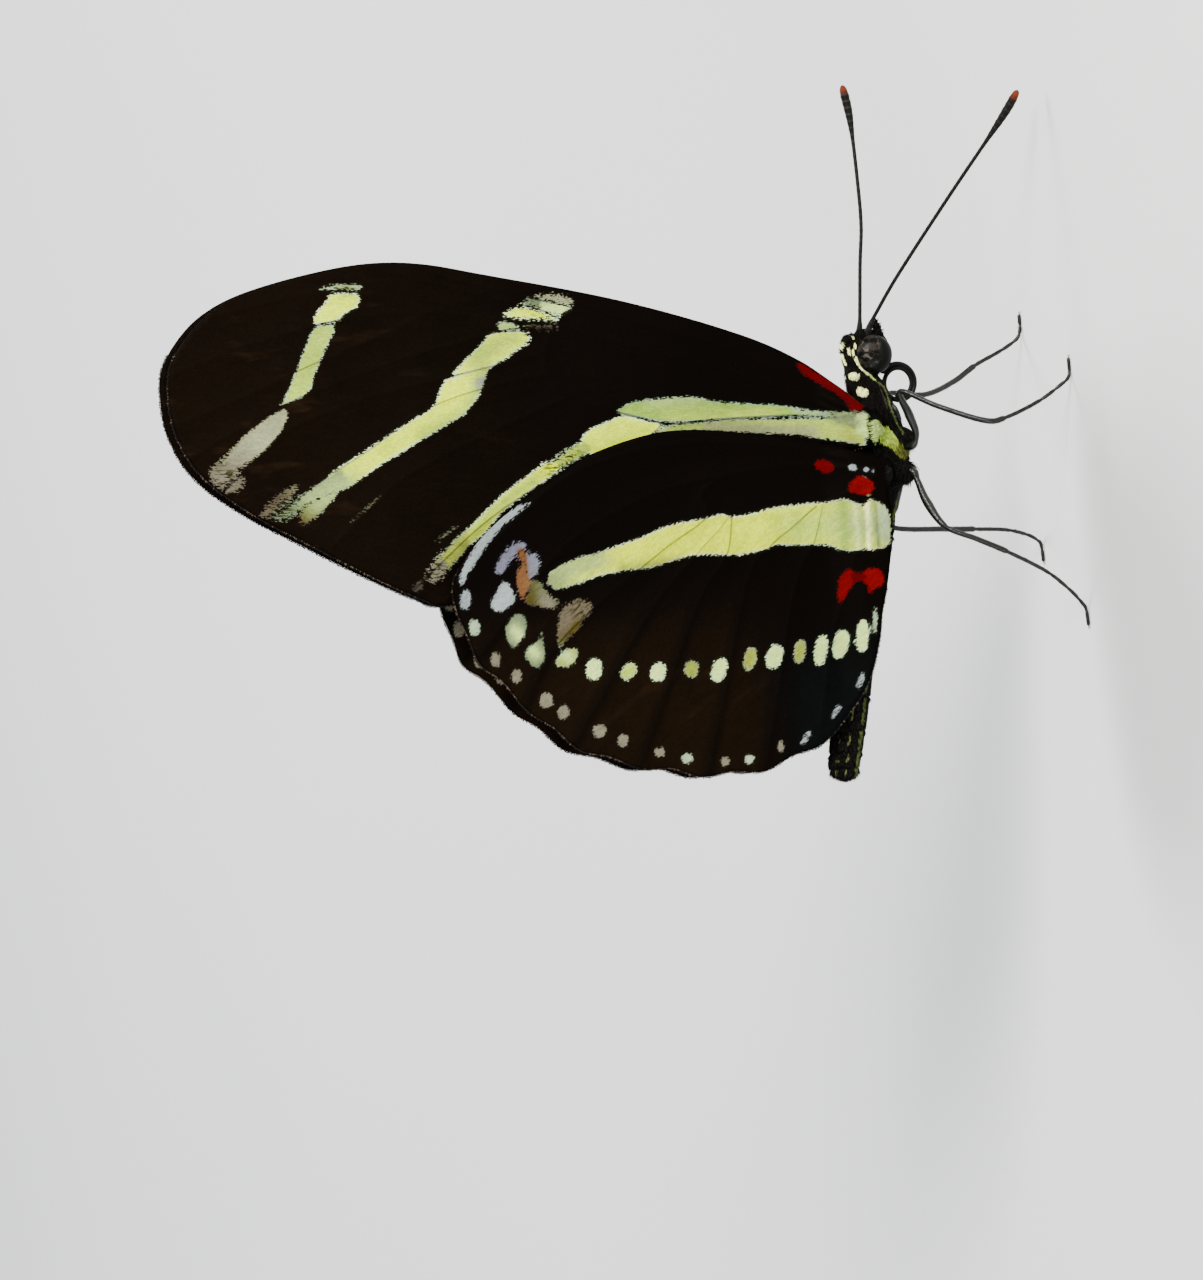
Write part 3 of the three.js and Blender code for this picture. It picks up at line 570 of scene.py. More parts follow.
    "flecked": [
        (-0.2, 18.2, 0.8), (-0.8, 19.4, 0.7), (-6.3, 27.2, 1.0), (0.2, 39.4, 0.9), (-2.0, 36.2, 0.9),
        (7.6, 19.4, 0.9), (-1.2, 2.4, 0.5), (10.8, 31.0, 0.5),
    ],
    "underOnly": ("crimson", "tan", "smoke", "pinkBrown"),
}

hindWing = {
    "kind": "hindwing",
    "hinge": (-2.9, 11.4),
    "heading": -0.6,
    "outline": [
        (0.8, -0.5), (0.9, 0.0), (1.4, 1.3), (2.4, 4.8), (3.4, 9.8), (3.6, 13.5), (2.8, 17.3), (1.7, 19.8),
        (0.1, 22.5), (-1.9, 25.1), (-3.7, 26.6), (-4.9, 27.0), (-6.3, 26.8), (-7.7, 26.3), (-9.3, 25.8),
        (-10.4, 24.5), (-12.4, 23.0), (-13.4, 21.6), (-14.9, 20.1), (-15.5, 18.2), (-16.4, 16.3),
        (-16.5, 14.5), (-17.2, 12.6), (-17.0, 10.7), (-17.2, 8.9), (-16.4, 7.0), (-15.8, 5.0), (-13.8, 3.0),
        (-12.1, 1.9), (-10.1, 1.2), (-8.2, 0.8), (-6.4, 0.3), (-4.3, -0.1), (-2.6, -0.3), (-0.9, -0.1),
        (-0.8, -0.5),
    ],
    "veins": [
        (0.0, [(0.6, 0.6), (1.9, 4.9), (2.8, 11.0), (2.4, 16.1), (0.7, 20.6), (-4.4, 26.9)]),
        (0.0, [(0.25, 0.6), (0.9, 5.0), (0.8, 8.7), (-0.1, 14.4), (-3.0, 20.3), (-8.9, 25.8)]),
        (0.0, [(-0.15, 0.6), (-1.6, 4.0), (-1.8, 9.5), (-1.0, 11.0), (-0.1, 11.1), (0.7, 9.6)]),
        (0.0, [(-0.5, 0.6), (-3.3, 1.6), (-6.8, 2.9), (-10.3, 4.1), (-15.9, 5.4)]),
        (0.72, [(-0.9, 11.0), (-1.9, 11.3), (-3.5, 14.0), (-6.8, 18.8), (-9.1, 21.4), (-12.3, 23.4)]),
        (0.55, [(-1.75, 9.65), (-2.4, 10.25), (-3.8, 11.8), (-7.0, 15.0), (-14.6, 20.4)]),
        (0.72, [(-1.8, 9.5), (-4.2, 10.1), (-6.9, 12.1), (-16.2, 16.5)]),
        (0.72, [(-1.6, 4.2), (-2.8, 5.9), (-3.7, 7.2), (-5.3, 8.7), (-10.7, 10.4), (-17.0, 12.3)]),
        (0.62, [(-1.6, 3.8), (-3.9, 4.6), (-6.5, 6.0), (-16.9, 8.7)]),
    ],
    "blots": [
        ("blueWhite", [(0.0, 21.8), (-0.2, 22.8), (-1.1, 24.4), (-2.2, 25.4), (-3.3, 26.2), (-4.2, 26.6),
                       (-4.5, 26.4), (-3.7, 25.9), (-1.7, 24.2), (-0.6, 22.8)]),
        # the long band
        ("creamWarm", [(-2.6, 15.3), (-2.0, 13.4), (-1.8, 11.5), (-1.6, 10.1), (-1.8, 9.5), (-1.7, 8.1),
                       (-1.5, 7.2), (-1.4, 4.9), (-1.4, 3.2), (-1.3, 2.5), (-1.8, 1.5), (-1.5, 1.1),
                       (-1.7, 0.4), (-2.4, -0.1), (-3.8, -0.1), (-4.3, 0.1), (-4.5, 0.9), (-4.4, 1.8),
                       (-4.5, 2.2), (-4.3, 3.1), (-4.0, 3.7), (-3.8, 6.0), (-3.7, 6.9), (-3.9, 7.4),
                       (-4.1, 8.8), (-4.1, 9.8), (-3.9, 11.8), (-4.1, 13.2), (-4.4, 14.6), (-4.5, 16.7),
                       (-4.7, 18.1), (-5.0, 19.3), (-5.2, 20.7), (-4.6, 21.2), (-4.0, 20.7), (-3.5, 19.3),
                       (-3.3, 18.1), (-3.0, 16.9)]),
        ("darkRed", [(1.0, 4.1), (1.2, 3.6), (0.9, 3.0), (0.5, 2.9), (0.3, 3.3), (0.6, 4.0)]),
        ("scarlet", [(-0.5, 2.2), (0.0, 1.6), (-0.2, 1.0), (-0.7, 0.6), (-1.2, 1.0), (-1.1, 1.7),
                     (-0.9, 2.1)]),
        ("scarlet", [(-5.5, 2.5), (-6.2, 2.3), (-6.9, 2.7), (-7.6, 3.3), (-6.7, 3.35), (-5.9, 3.1)]),
        ("scarlet", [(-5.7, 1.7), (-5.6, 1.1), (-5.9, 0.6), (-6.6, 0.6), (-6.9, 1.2), (-7.2, 1.55),
                     (-6.7, 1.6), (-6.2, 1.85)]),
        ("crimson", [(-5.8, 2.4), (-5.9, 1.6), (-6.3, 1.7), (-6.2, 2.5)]),
        # the hook near the outer corner
        ("lilacGrey", [(-3.9, 24.3), (-3.2, 24.1), (-2.5, 23.4), (-2.2, 22.8), (-2.4, 22.3),
                       (-2.75, 22.4), (-2.9, 22.9), (-3.4, 23.4), (-4.0, 23.9)]),
        ("lilacGrey", [(-3.1, 22.3), (-3.0, 21.8), (-3.6, 21.6), (-4.2, 21.8), (-4.5, 22.3),
                       (-3.7, 22.5)]),
        ("orange", [(-2.8, 23.0), (-2.7, 22.5), (-3.1, 22.3), (-3.9, 22.4), (-4.6, 22.2), (-5.0, 22.4),
                    (-5.7, 22.9), (-5.0, 23.05), (-4.1, 23.05), (-3.4, 22.7)]),
        ("olive", [(-4.5, 22.1), (-4.8, 21.6), (-5.5, 21.2), (-5.9, 20.6), (-6.3, 20.9), (-6.3, 21.5),
                   (-6.1, 22.1), (-5.9, 22.7), (-5.2, 22.4)]),
        ("blueWhite", [(-4.5, 23.8), (-5.4, 23.3), (-5.8, 23.4), (-6.2, 24.0), (-6.3, 24.4), (-5.8, 24.8),
                       (-5.3, 24.5)]),
        ("sage", [(-6.5, 23.3), (-6.7, 22.8), (-7.2, 22.7), (-7.9, 23.0), (-8.5, 23.6), (-8.0, 24.0),
                  (-7.3, 24.0), (-6.8, 23.7)]),
        ("sage", [(-7.7, 21.8), (-9.3, 21.8), (-9.8, 22.4), (-9.0, 23.0), (-8.5, 22.6), (-8.2, 22.1)]),
        ("straw", [(-8.8, 19.8), (-9.2, 19.7), (-9.9, 20.2), (-9.7, 21.2), (-9.0, 20.6)]),
        ("pinkBrown", [(-6.0, 19.1), (-6.3, 18.6), (-6.9, 18.8), (-7.4, 19.4), (-8.2, 20.2), (-8.7, 20.9),
                       (-8.2, 20.9), (-7.1, 20.7), (-6.4, 20.4), (-6.0, 19.7)]),
        ("olive", [(-7.3, 19.2), (-7.9, 19.7), (-8.6, 20.7), (-8.8, 20.9), (-8.4, 20.4), (-7.6, 19.9)]),
    ],
    "spots": [
        ("pearl", -8.8, 1.35, 1.7, 0.28, 7),
        ("ivory", -9.6, 2.15, 2.0, 0.7, 8),
        ("ivory", -10.0, 3.45, 1.8, 0.95, 20),
        ("ivory", -10.25, 4.7, 1.9, 0.78, 17),
        ("straw", -10.2, 6.0, 1.5, 0.72, 16),
        ("ivory", -10.4, 7.6, 1.5, 0.95, 25),
        ("straw", -10.4, 9.1, 1.4, 0.82, 22),
        ("ivory", -10.9, 11.1, 1.5, 0.9, 25),
        ("straw", -10.7, 12.8, 1.05, 0.9, 18),
        ("ivory", -10.7, 14.9, 1.2, 0.9, 35),
        ("creamGreen", -10.5, 16.7, 1.2, 0.85, 52),
        ("ivory", -10.2, 18.8, 1.3, 0.95, 10),
        ("blueWhite", -5.4, 26.3, 1.2, 0.65, 10),
        ("pearl", -7.1, 25.9, 0.95, 0.65, 5),
        ("ash", -9.1, 24.8, 0.85, 0.6, 5),
        ("ash", -10.2, 23.6, 0.85, 0.62, 10),
        ("ash", -11.8, 21.9, 0.95, 0.85, 0),
        ("ash", -12.6, 20.9, 0.9, 0.7, 10),
        ("ash", -13.9, 18.8, 0.8, 0.8, 0),
        ("ash", -14.6, 17.4, 0.8, 0.65, 20),
        ("ash", -15.5, 15.2, 0.6, 0.7, 0),
        ("pearl", -16.0, 13.5, 0.6, 0.7, 0),
        ("ash", -16.4, 11.2, 0.55, 0.6, 0),
        ("pearl", -16.4, 9.7, 0.55, 0.6, 0),
        ("ash", -15.8, 7.7, 0.7, 0.38, 10),
        ("blueWhite", -15.4, 6.1, 1.0, 0.3, 40),
        ("blueWhite", -14.0, 4.1, 1.0, 0.28, 40),
        ("blueWhite", -12.3, 2.5, 1.0, 0.28, 25),
        ("blueWhite", 0.52, 1.88, 0.4, 0.5, 20),
        ("blueWhite", 0.38, 1.42, 0.17, 0.15, 0),
        ("blueWhite", 0.34, 1.1, 0.34, 0.3, 0),
        ("blueWhite", 0.22, 0.7, 0.4, 0.22, 0),
    ],
    "washes": [
        ("pinkBrown", 0.3, [(-5.9, 20.7), (-6.2, 21.4)]),
        ("creamGreen", 1.3, [(-2.8, 3.6), (-2.8, 5.6)]),
        ("creamGrey", 1.5, [(-2.9, -0.3), (-2.9, 1.9)]),
        ("pearl", 0.28, [(-1.8, 0.2), (-3.9, 0.2)]),
        ("ivory", 0.16, [(-1.6, 1.9), (-4.5, 1.95)]),
        # painted light on the pleats at the band's root: a pale streak as painted highlight and a dark
        # streak as painted shade
        ("milk", 0.12, [(-1.6, 1.2), (-4.5, 1.3)]),
        ("sage", 0.13, [(-1.7, 0.75), (-4.4, 0.7)]),
        ("pistachio", 0.25, [(-1.6, 2.6), (-4.3, 2.7)]),
        ("sage", 1.0, [(-4.7, 20.9), (-4.6, 20.5)]),
        ("creamGrey", 0.8, [(-4.1, 20.0), (-3.7, 18.0)]),
        ("straw", 0.4, [(-4.2, 13.0), (-4.4, 16.5)]),
        ("ash", 0.5, [(-5.7, 21.4), (-6.3, 21.2)]),
        ("olive", 0.35, [(-7.4, 19.4), (-8.7, 20.9)]),
        ("ivory", 0.35, [(-9.0, 22.3), (-7.5, 23.4)]),
        ("ivory", 0.4, [(-9.3, 20.3), (-9.1, 20.7)]),
    ],
    "frayed": [
        (-2.8, 23.2, 0.9, 1.2), (-6.2, 19.4, 0.8, 1.4), (-3.1, 21.7, 0.6, 1.2), (-5.9, 21.0, 0.6, 1.2),
        (0.4, 1.4, 0.8, -0.8), (0.2, 0.6, 0.5, -0.8), (-9.4, 1.6, 0.7, -0.5),
    ],
    "flecked": [
        (-6.6, 19.2, 0.9), (-4.4, 21.9, 0.3),
    ],
    "underOnly": ("scarlet", "darkRed", "crimson", "orange", "olive", "pinkBrown"),
}

wingSheet = {
    "step": 0.24,             # between the mesh's points
    "rowStep": 0.87,          # between its rows, as a share of step like the next four
    "jitter": 0.12,           # how far points stray
    "rimClear": 0.6,          # free of points along the rim
    "veinClear": 0.95,        # and along the veins
    "endClear": 0.5,          # between the rim and a vein's points
    "merge": 0.0001,          # points nearer than this become one
    "thickness": 0.12,
    "veinHeight": 0.055,
    "veinWidth": 0.13,
    "ridgeWidth": 0.1,
    "pleat": 0.09,            # how far the membrane sags between veins
    "wave": 0.1,
    "nudge": 0.02,            # for measuring the sheet's slope
    "seed": 11,
}

# how far each wing stands from the plane between the two pairs, as in the solids
tuck = {
    "forewing": {"hinge": 2.0, "closed": 0.6, "tip": 1.45, "from": 11.9, "to": 15.0, "top": 54.4},
    "hindwing": {"hinge": 2.3, "closed": 1.75, "tip": 2.3, "from": 13.0, "to": 15.2, "top": 38.4},
}


def standOff(kind, z):
    wing = tuck[kind]
    closed = smoothStep(z, wing["from"], wing["to"])
    rise = np.clip((z - wing["to"]) / (wing["top"] - wing["to"]), 0, 1)
    near = wing["hinge"] + (wing["closed"] - wing["hinge"]) * closed
    return near + (wing["tip"] - wing["closed"]) * rise**1.2


def spotOutline(x, z, length, width, turn):
    # a rounded oblong
    angles = np.linspace(0, 2 * math.pi, 14, endpoint=False)
    lean = math.radians(turn)
    back = np.array([-math.cos(lean), math.sin(lean)])
    side = np.array([math.sin(lean), math.cos(lean)])
    reach, spread = (np.sign(wave) * np.abs(wave) ** 0.8 for wave in (np.cos(angles), np.sin(angles)))
    return np.array([x, z]) + reach[:, None] * back * length / 2 + spread[:, None] * side * width / 2


def softPatches(places, patches):
    # 1 in the middle of each round patch, fading to 0 outwards
    return [np.exp(-np.sum((places - [x, z]) ** 2, axis=1) / reach**2) for x, z, reach in patches]


def wingMarks(wing, places, under):
    # distance to the nearest marking's edge and that marking's colour, for each place on one face
    shapes = [(colour, curveThrough(points, 0.25, closed=True)) for colour, points in wing["blots"]]
    shapes += [(colour, spotOutline(*rest)) for colour, *rest in wing["spots"]]
    edge = np.full(len(places), farOff)
    colour = np.tile(np.array(paint["cream"]), (len(places), 1))
    washable = np.ones(len(places))
    for name, path in shapes:
        if not under and name in wing["underOnly"]:
            continue
        gap = edgeOf(places, path)
        nearer = (gap < edge) | (gap < 0)
        edge = np.minimum(edge, gap)
        shown = name if under else "ash" if name in greys else "brightYellow"
        colour[nearer] = paint[shown]
        washable[nearer] = name not in reds
    if under:
        for name, reach, path in wing["washes"]:
            share = np.exp(-((gapToPath(places, np.array(path)) / reach) ** 2)) * washable
            colour += 0.9 * share[:, None] * (np.array(paint[name]) - colour)
    return edge, colour


def wingGround(wing, places, veinGap):
    # black at the base, browner towards the outer edge, and a painted bluish sheen beside the abdomen
    black, brown, sheenBlueBlack = linear(3, 1, 0), linear(13, 6, 1), linear(3, 4, 4)
    if wing["kind"] == "forewing":
        warm = smoothStep(places[:, 1], 6, 40) * 0.6
        paintedSheen = np.zeros(len(places))
        dust = smoothStep(places[:, 1], 18, 36) * 0.5
    else:
        warm = smoothStep(-places[:, 0], 4.5, 11) * smoothStep(places[:, 1], 6, 11)
        warm *= 0.35 + 0.6 * smoothStep(veinGap, 0.1, 0.7)
        # painted sheen: bluish black over the hindwing's part beside the abdomen
        paintedSheen = smoothStep(-places[:, 0], 8, 13) * (1 - smoothStep(places[:, 1], 5, 9))
        dust = 0.25 * warm
    ground = np.array(black) + warm[:, None] * (np.array(brown) - black)
    return ground + paintedSheen[:, None] * (np.array(sheenBlueBlack) - ground), dust


def gridInside(rim, veins):
    # points all over the wing, clear of its rim and of the veins
    rng = np.random.default_rng(wingSheet["seed"])
    step = wingSheet["step"]
    low, high = rim.min(0), rim.max(0)
    rows = np.arange(low[1], high[1], step * wingSheet["rowStep"])
    xs, zs = np.meshgrid(np.arange(low[0], high[0], step), rows)
    xs = xs + (np.arange(xs.shape[0]) % 2)[:, None] * step / 2
    grid = np.stack([xs.ravel(), zs.ravel()], 1)
    grid += rng.uniform(-wingSheet["jitter"], wingSheet["jitter"], grid.shape) * step
    grid = grid[within(grid, rim)]
    grid = grid[gapToPath(grid, rim, closed=True) > step * wingSheet["rimClear"]]
    veinGap = np.min([gapToPath(grid, path) for path in veins], axis=0)
    return grid[veinGap > step * wingSheet["veinClear"]]


def veinPoints(rim, veins):
    # points round the rim, along each vein and beside it, and the edges that the triangles follow
    width = wingSheet["veinWidth"]
    endClear = wingSheet["step"] * wingSheet["endClear"]
    points = [rim]
    edges = [(i, (i + 1) % len(rim)) for i in range(len(rim))]
    count = len(rim)
    for path in veins:
        across = np.gradient(path, axis=0)
        across = np.stack([-across[:, 1], across[:, 0]], 1)
        across /= np.linalg.norm(across, axis=1, keepdims=True)
        path = path[gapToPath(path, rim, closed=True) > endClear]
        across = across[: len(path)]
        points.append(path)
        edges += [(count + i, count + i + 1) for i in range(len(path) - 1)]
        count += len(path)
        for side in (-1, 1):
            beside = path + side * across * width
            clear = np.min([gapToPath(beside, other) for other in veins], axis=0) > width * 0.8
            clear &= within(beside, rim) & (gapToPath(beside, rim, closed=True) > endClear)
            points.append(beside[clear])
            count += clear.sum()
    return points, edges


def flatWing(wing):
    # triangles over the outline that follow every vein
    step = wingSheet["step"]
    rim = curveThrough(wing["outline"], step, closed=True)
    inks = [ink for ink, path in wing["veins"]]
    veins = [curveThrough(path, step) for ink, path in wing["veins"]]
    points, edges = veinPoints(rim, veins)
    points.append(gridInside(rim, veins))
    flat = [Vector(p) for p in np.vstack(points)]
    insideRim = 1
    made = delaunay_2d_cdt(flat, edges, [list(range(len(rim)))], insideRim, wingSheet["merge"])
    places = np.array([tuple(p) for p in made[0]])
    faces = np.array([face for face in made[2] if len(face) == 3], np.int32)
    a, b, c = (places[faces[:, k]] for k in range(3))
    turned = (b[:, 0] - a[:, 0]) * (c[:, 1] - a[:, 1]) - (b[:, 1] - a[:, 1]) * (c[:, 0] - a[:, 0]) < 0
    faces[turned] = faces[turned][:, ::-1]
    gaps = [gapToPath(places, path) for path in veins]
    lines = [ink * np.clip(1 - gap / wingSheet["veinWidth"], 0, 1) for ink, gap in zip(inks, gaps)]
    line = np.max(lines, axis=0) * smoothStep(places[:, 1], 2.0, 4.5)
    return {"places": places, "faces": faces, "veinGap": np.min(gaps, axis=0), "veinLine": line}


def rimLoop(faces):
    # the sheet's open edges: first ends and second ends, the way their faces run
    pairs = np.vstack([faces[:, [0, 1]], faces[:, [1, 2]], faces[:, [2, 0]]]).tolist()
    known = {tuple(p) for p in pairs}
    return np.array([p for p in pairs if (p[1], p[0]) not in known], np.int32).T


def sheetHeight(wing, places):
    # the membrane's middle: tucked as in the solids and a little wavy
    x, z = places[:, 0] + wing["hinge"][0], places[:, 1] + wing["hinge"][1]
    free = smoothStep(places[:, 1], 1.0, 6.0)
    wave = wingSheet["wave"] * np.sin(x * 0.55 + z * 0.21 + 0.6) * np.sin(z * 0.33 - x * 0.12)
    return standOff(wing["kind"], z) + wave * free


def sheetPoints(wing, flat):
    # the left wing's outer and inner face, with a ridge over each vein and a sag between veins
    places, nudge = flat["places"], wingSheet["nudge"]
    middle = sheetHeight(wing, places)
    slopeX = (sheetHeight(wing, places + [nudge, 0]) - middle) / nudge
    slopeZ = (sheetHeight(wing, places + [0, nudge]) - middle) / nudge
    sag = wingSheet["pleat"] * smoothStep(flat["veinGap"], 0.0, 1.3) * smoothStep(places[:, 1], 0.5, 5.0)
    ridge = wingSheet["veinHeight"] * np.exp(-((flat["veinGap"] / wingSheet["ridgeWidth"]) ** 2))
    ridge *= smoothStep(places[:, 1], -0.4, 0.8)
    outward = np.stack([-slopeX, np.ones(len(places)), -slopeZ], 1)
    outward /= np.linalg.norm(outward, axis=1, keepdims=True)
    centre = np.stack([places[:, 0] + wing["hinge"][0], middle - sag, places[:, 1] + wing["hinge"][1]], 1)
    thick = (wingSheet["thickness"] / 2 + ridge)[:, None]
    return np.vstack([centre + outward * thick, centre - outward * thick])


def wingPiece(wing, flat, marks, side, sideName, material):
    places, faces = flat["places"], flat["faces"]
    points = sheetPoints(wing, flat)
    points[:, 1] *= side
    # seen from outside, the right wing's flat faces already turn the right way
    outer = faces[:, ::-1] if side > 0 else faces
    inner = outer[:, ::-1] + len(places)
    first, second = rimLoop(outer)
    walls = np.vstack([np.stack([second, first, first + len(places)], 1),
                       np.stack([second, first + len(places), second + len(places)], 1)])
    name = f"{wing['kind']}_{sideName}"
    mesh = meshOf(f"scaled_{name}", points, np.vstack([outer, inner, walls]))
    (underEdge, underColour), (upperEdge, upperColour) = marks
    setFloat(mesh, "markEdge", np.concatenate([underEdge, upperEdge]))
    setColour(mesh, "mark", np.vstack([underColour, upperColour]))
    setFloat(mesh, "veinLine", np.tile(flat["veinLine"], 2))
    ground, dust = wingGround(wing, places, flat["veinGap"])
    setColour(mesh, "ground", np.tile(ground, (2, 1)))
    setFloat(mesh, "dust", np.tile(dust, 2))
    patches = softPatches(places, [patch[:3] for patch in wing["frayed"]])
    fray = 1 + sum(share * patch[3] for share, patch in zip(patches, wing["frayed"]))
    setFloat(mesh, "fray", np.tile(np.maximum(fray, 0.15), 2))
    setFloat(mesh, "fleck", np.tile(np.max(softPatches(places, wing["flecked"]), axis=0), 2))
    far = np.linalg.norm(places, axis=1)
    turn = np.arctan2(places[:, 0], places[:, 1]) - wing["heading"]
    lie = np.stack([far, far * turn, np.zeros(len(places))], 1) * mm
    lies = mesh.attributes.new("lie", "FLOAT_VECTOR", "POINT")
    lies.data.foreach_set("vector", np.tile(lie, (2, 1)).astype(np.float32).ravel())
    wingUnwrap(mesh, places)
    finishPiece(f"scaled_{name}", mesh, material, [name])


def wingSpots(places, sheet):
    # places on a wing's unwrap, which is wide enough for two faces of the sheet side by side
    low, high = sheet.min(0), sheet.max(0)
    return ontoMap((places - low) / max((high[0] - low[0]) * 2.1, high[1] - low[1]))


def wingUnwrap(mesh, places):
    # the outer face on the left half of the map and the inner face on the right
    spots = wingSpots(places, places)
    shift = [spots[:, 0].max() + 0.01, 0]
    setUnwrap(mesh, np.vstack([spots, spots + shift]))


# Coats: many small tapered tufts joined in one mesh

tuft = {
    "sunk": 0.04,             # its foot, below the skin
    # for tufts of one or two rings: each ring's place as a share of the length, and share of the width
    "rings": {1: [(0.62, 1.0)], 2: [(0.35, 1.0), (0.72, 0.7)]},
    "keel": 0.7,              # a ring's height as a share of its half width
    "patch": 0.003,           # on the unwrap
}


def tuftFaces(rings):
    # one closed tuft: a foot, then rings of three points, then its tip
    faces = [(0, 2, 1), (0, 3, 2), (0, 1, 3)]
    for ring in range(1, rings):
        a = 1 + (ring - 1) * 3
        for k in range(3):
            p, q = a + k, a + (k + 1) % 3
            faces += [(p, q, q + 3), (p, q + 3, p + 3)]
    last, tip = rings * 3 - 2, rings * 3 + 1
    faces += [(last, last + 1, tip), (last + 1, last + 2, tip), (last + 2, last, tip)]
    return np.array(faces, np.int32)


def coatMesh(name, roots, lie, out, length, width, lift, bend, colour, spots, rings=1):
    # roots on the skin, lie along it and out from it; spots are the roots' places on the unwrap
    count = len(roots)
    each = rings * 3 + 2
    length, width = (np.broadcast_to(np.asarray(v, float), count)[:, None] for v in (length, width))
    lift, bend = (np.broadcast_to(np.asarray(v, float), count)[:, None] for v in (lift, bend))
    across = np.cross(out, lie)
    across /= np.maximum(np.linalg.norm(across, axis=1, keepdims=True), 1e-9)
    along = lie * np.cos(lift) + out * np.sin(lift)
    above = np.cross(along, across)
    above *= np.sign(np.sum(above * out, axis=1, keepdims=True))
    layers = [roots - along * tuft["sunk"]]
    for stop, share in tuft["rings"][rings]:
        middle = roots + along * length * stop - out * length * bend * stop**2
        spread = width * share / 2
        keel = middle + above * spread * tuft["keel"]
        layers += [middle - across * spread, keel, middle + across * spread]
    layers.append(roots + along * length - out * length * bend)
    allFaces = (tuftFaces(rings)[None] + (np.arange(count) * each)[:, None, None]).reshape(-1, 3)
    mesh = meshOf(name, np.stack(layers, 1).reshape(-1, 3), allFaces)
    setColour(mesh, "tuft", np.repeat(colour, each, axis=0))
    patch = np.empty((each, 2))
    patch[:, 0] = np.linspace(-0.5, 0.5, each) * tuft["patch"]
    patch[:, 1] = np.where(np.arange(each) % 2 == 0, -0.5, 0.5) * tuft["patch"]
    setUnwrap(mesh, (spots[:, None, :] + patch[None]).reshape(-1, 2))
    return mesh


fringe = {
    "every": 0.07,
    "length": (0.12, 0.22),
    "width": 0.08,
    "from": 0.4,              # above the hinge
    "leading": 0.55,          # how far forward the rim has to look to count as the leading edge
    "sunk": 0.05,
    "pale": linear(76, 64, 52),
    "dark": linear(12, 8, 6),
    "seed": 5,
}


def wingFringe(wing, flat, side, sideName, material):
    # a row of small tufts along the wing's edge, shorter along the leading edge
    rng = np.random.default_rng(fringe["seed"])
    rim = curveThrough(wing["outline"], fringe["every"], closed=True)
    tangent = np.roll(rim, -1, 0) - np.roll(rim, 1, 0)
    tangent /= np.linalg.norm(tangent, axis=1, keepdims=True)
    away = np.stack([tangent[:, 1], -tangent[:, 0]], 1)
    middle = rim.mean(0)
    if np.mean(np.sum(away * (rim - middle), axis=1)) < 0:
        away = -away
    keep = rim[:, 1] > fringe["from"]
    rim, away, tangent = rim[keep], away[keep], tangent[keep]
    leading = away[:, 0] > fringe["leading"]
    count = len(rim)
    flow = away + tangent * rng.uniform(-0.25, 0.25, (count, 1))
    reach = rng.uniform(*fringe["length"], count) * np.where(leading, 0.35, 1.0)
    height = sheetHeight(wing, rim) - wingSheet["pleat"] * 0.8
    height += rng.uniform(-0.03, 0.03, count)
    roots = np.stack([rim[:, 0] + wing["hinge"][0], height, rim[:, 1] + wing["hinge"][1]], 1)
    lie = np.stack([flow[:, 0], rng.uniform(-0.1, 0.1, count), flow[:, 1]], 1)
    lie /= np.linalg.norm(lie, axis=1, keepdims=True)
    roots -= lie * fringe["sunk"]
    out = np.tile([0.0, 1.0, 0.0], (count, 1))
    for rows in (roots, lie, out):
        rows[:, 1] *= side
    toVein = np.min([np.linalg.norm(rim - path[-1], axis=1) for ink, path in wing["veins"]], axis=0)
    # pale tufts stand mostly between the veins
    pale = (rng.random(count) < 0.1 + 0.3 * smoothStep(toVein, 0.7, 1.3)) & ~leading
    colour = np.where(pale[:, None], fringe["pale"], fringe["dark"])
    spots = wingSpots(rim, flat["places"])
    mesh = coatMesh(f"fringe_{wing['kind']}_{sideName}", roots, lie, out, reach, fringe["width"], 0.0, 0.0,
                    colour, spots)
    finishPiece(mesh.name, mesh, material)


def makeWings():
    material = wingMaterial()
    fringeLook = tuftMaterial("fringeScales", 0.65, 0.1, 4.0, 0.75, 1.25)
    for wing in (foreWing, hindWing):
        flat = flatWing(wing)
        marks = [wingMarks(wing, flat["places"], under) for under in (True, False)]
        for sideName, side in sides.items():
            wingPiece(wing, flat, marks, side, sideName, material)
            wingFringe(wing, flat, side, sideName, fringeLook)
        print("wing pair made:", wing["kind"], len(flat["faces"]), "faces a side")


# Lofts and tubes

def loft(bm, rings, around):
    # joins circles, each given as a matrix, into one closed form
    before = None
    for index, ring in enumerate(rings):
        made = bmesh.ops.create_circle(bm, cap_ends=index in (0, len(rings) - 1), segments=around, radius=1,
                                       matrix=ring)["verts"]
        edges = list({edge for vert in made for edge in vert.link_edges})
        if before:
            bmesh.ops.bridge_loops(bm, edges=before + edges)
        before = edges


def ringAt(centre, across, upward, ahead):
    # a circle's matrix: its two half widths are the lengths of across and upward
    turn = Matrix((across, upward, ahead)).transposed().to_4x4()
    return Matrix.Translation(Vector(centre)) @ turn


def tubeRings(path, radii, side=(0, 1, 0), flat=1.0):
    # circles along a path that don't twist from one to the next
    ahead = np.gradient(path, axis=0)
    ahead /= np.linalg.norm(ahead, axis=1, keepdims=True)
    across = np.array(side, float)
    rings = []
    for centre, way, radius in zip(path, ahead, np.broadcast_to(radii, len(path))):
        across = across - way * (across @ way)
        across /= np.linalg.norm(across)
        upward = np.cross(way, across)
        rings.append(ringAt(centre, across * radius * flat, upward * radius, way))
    return rings


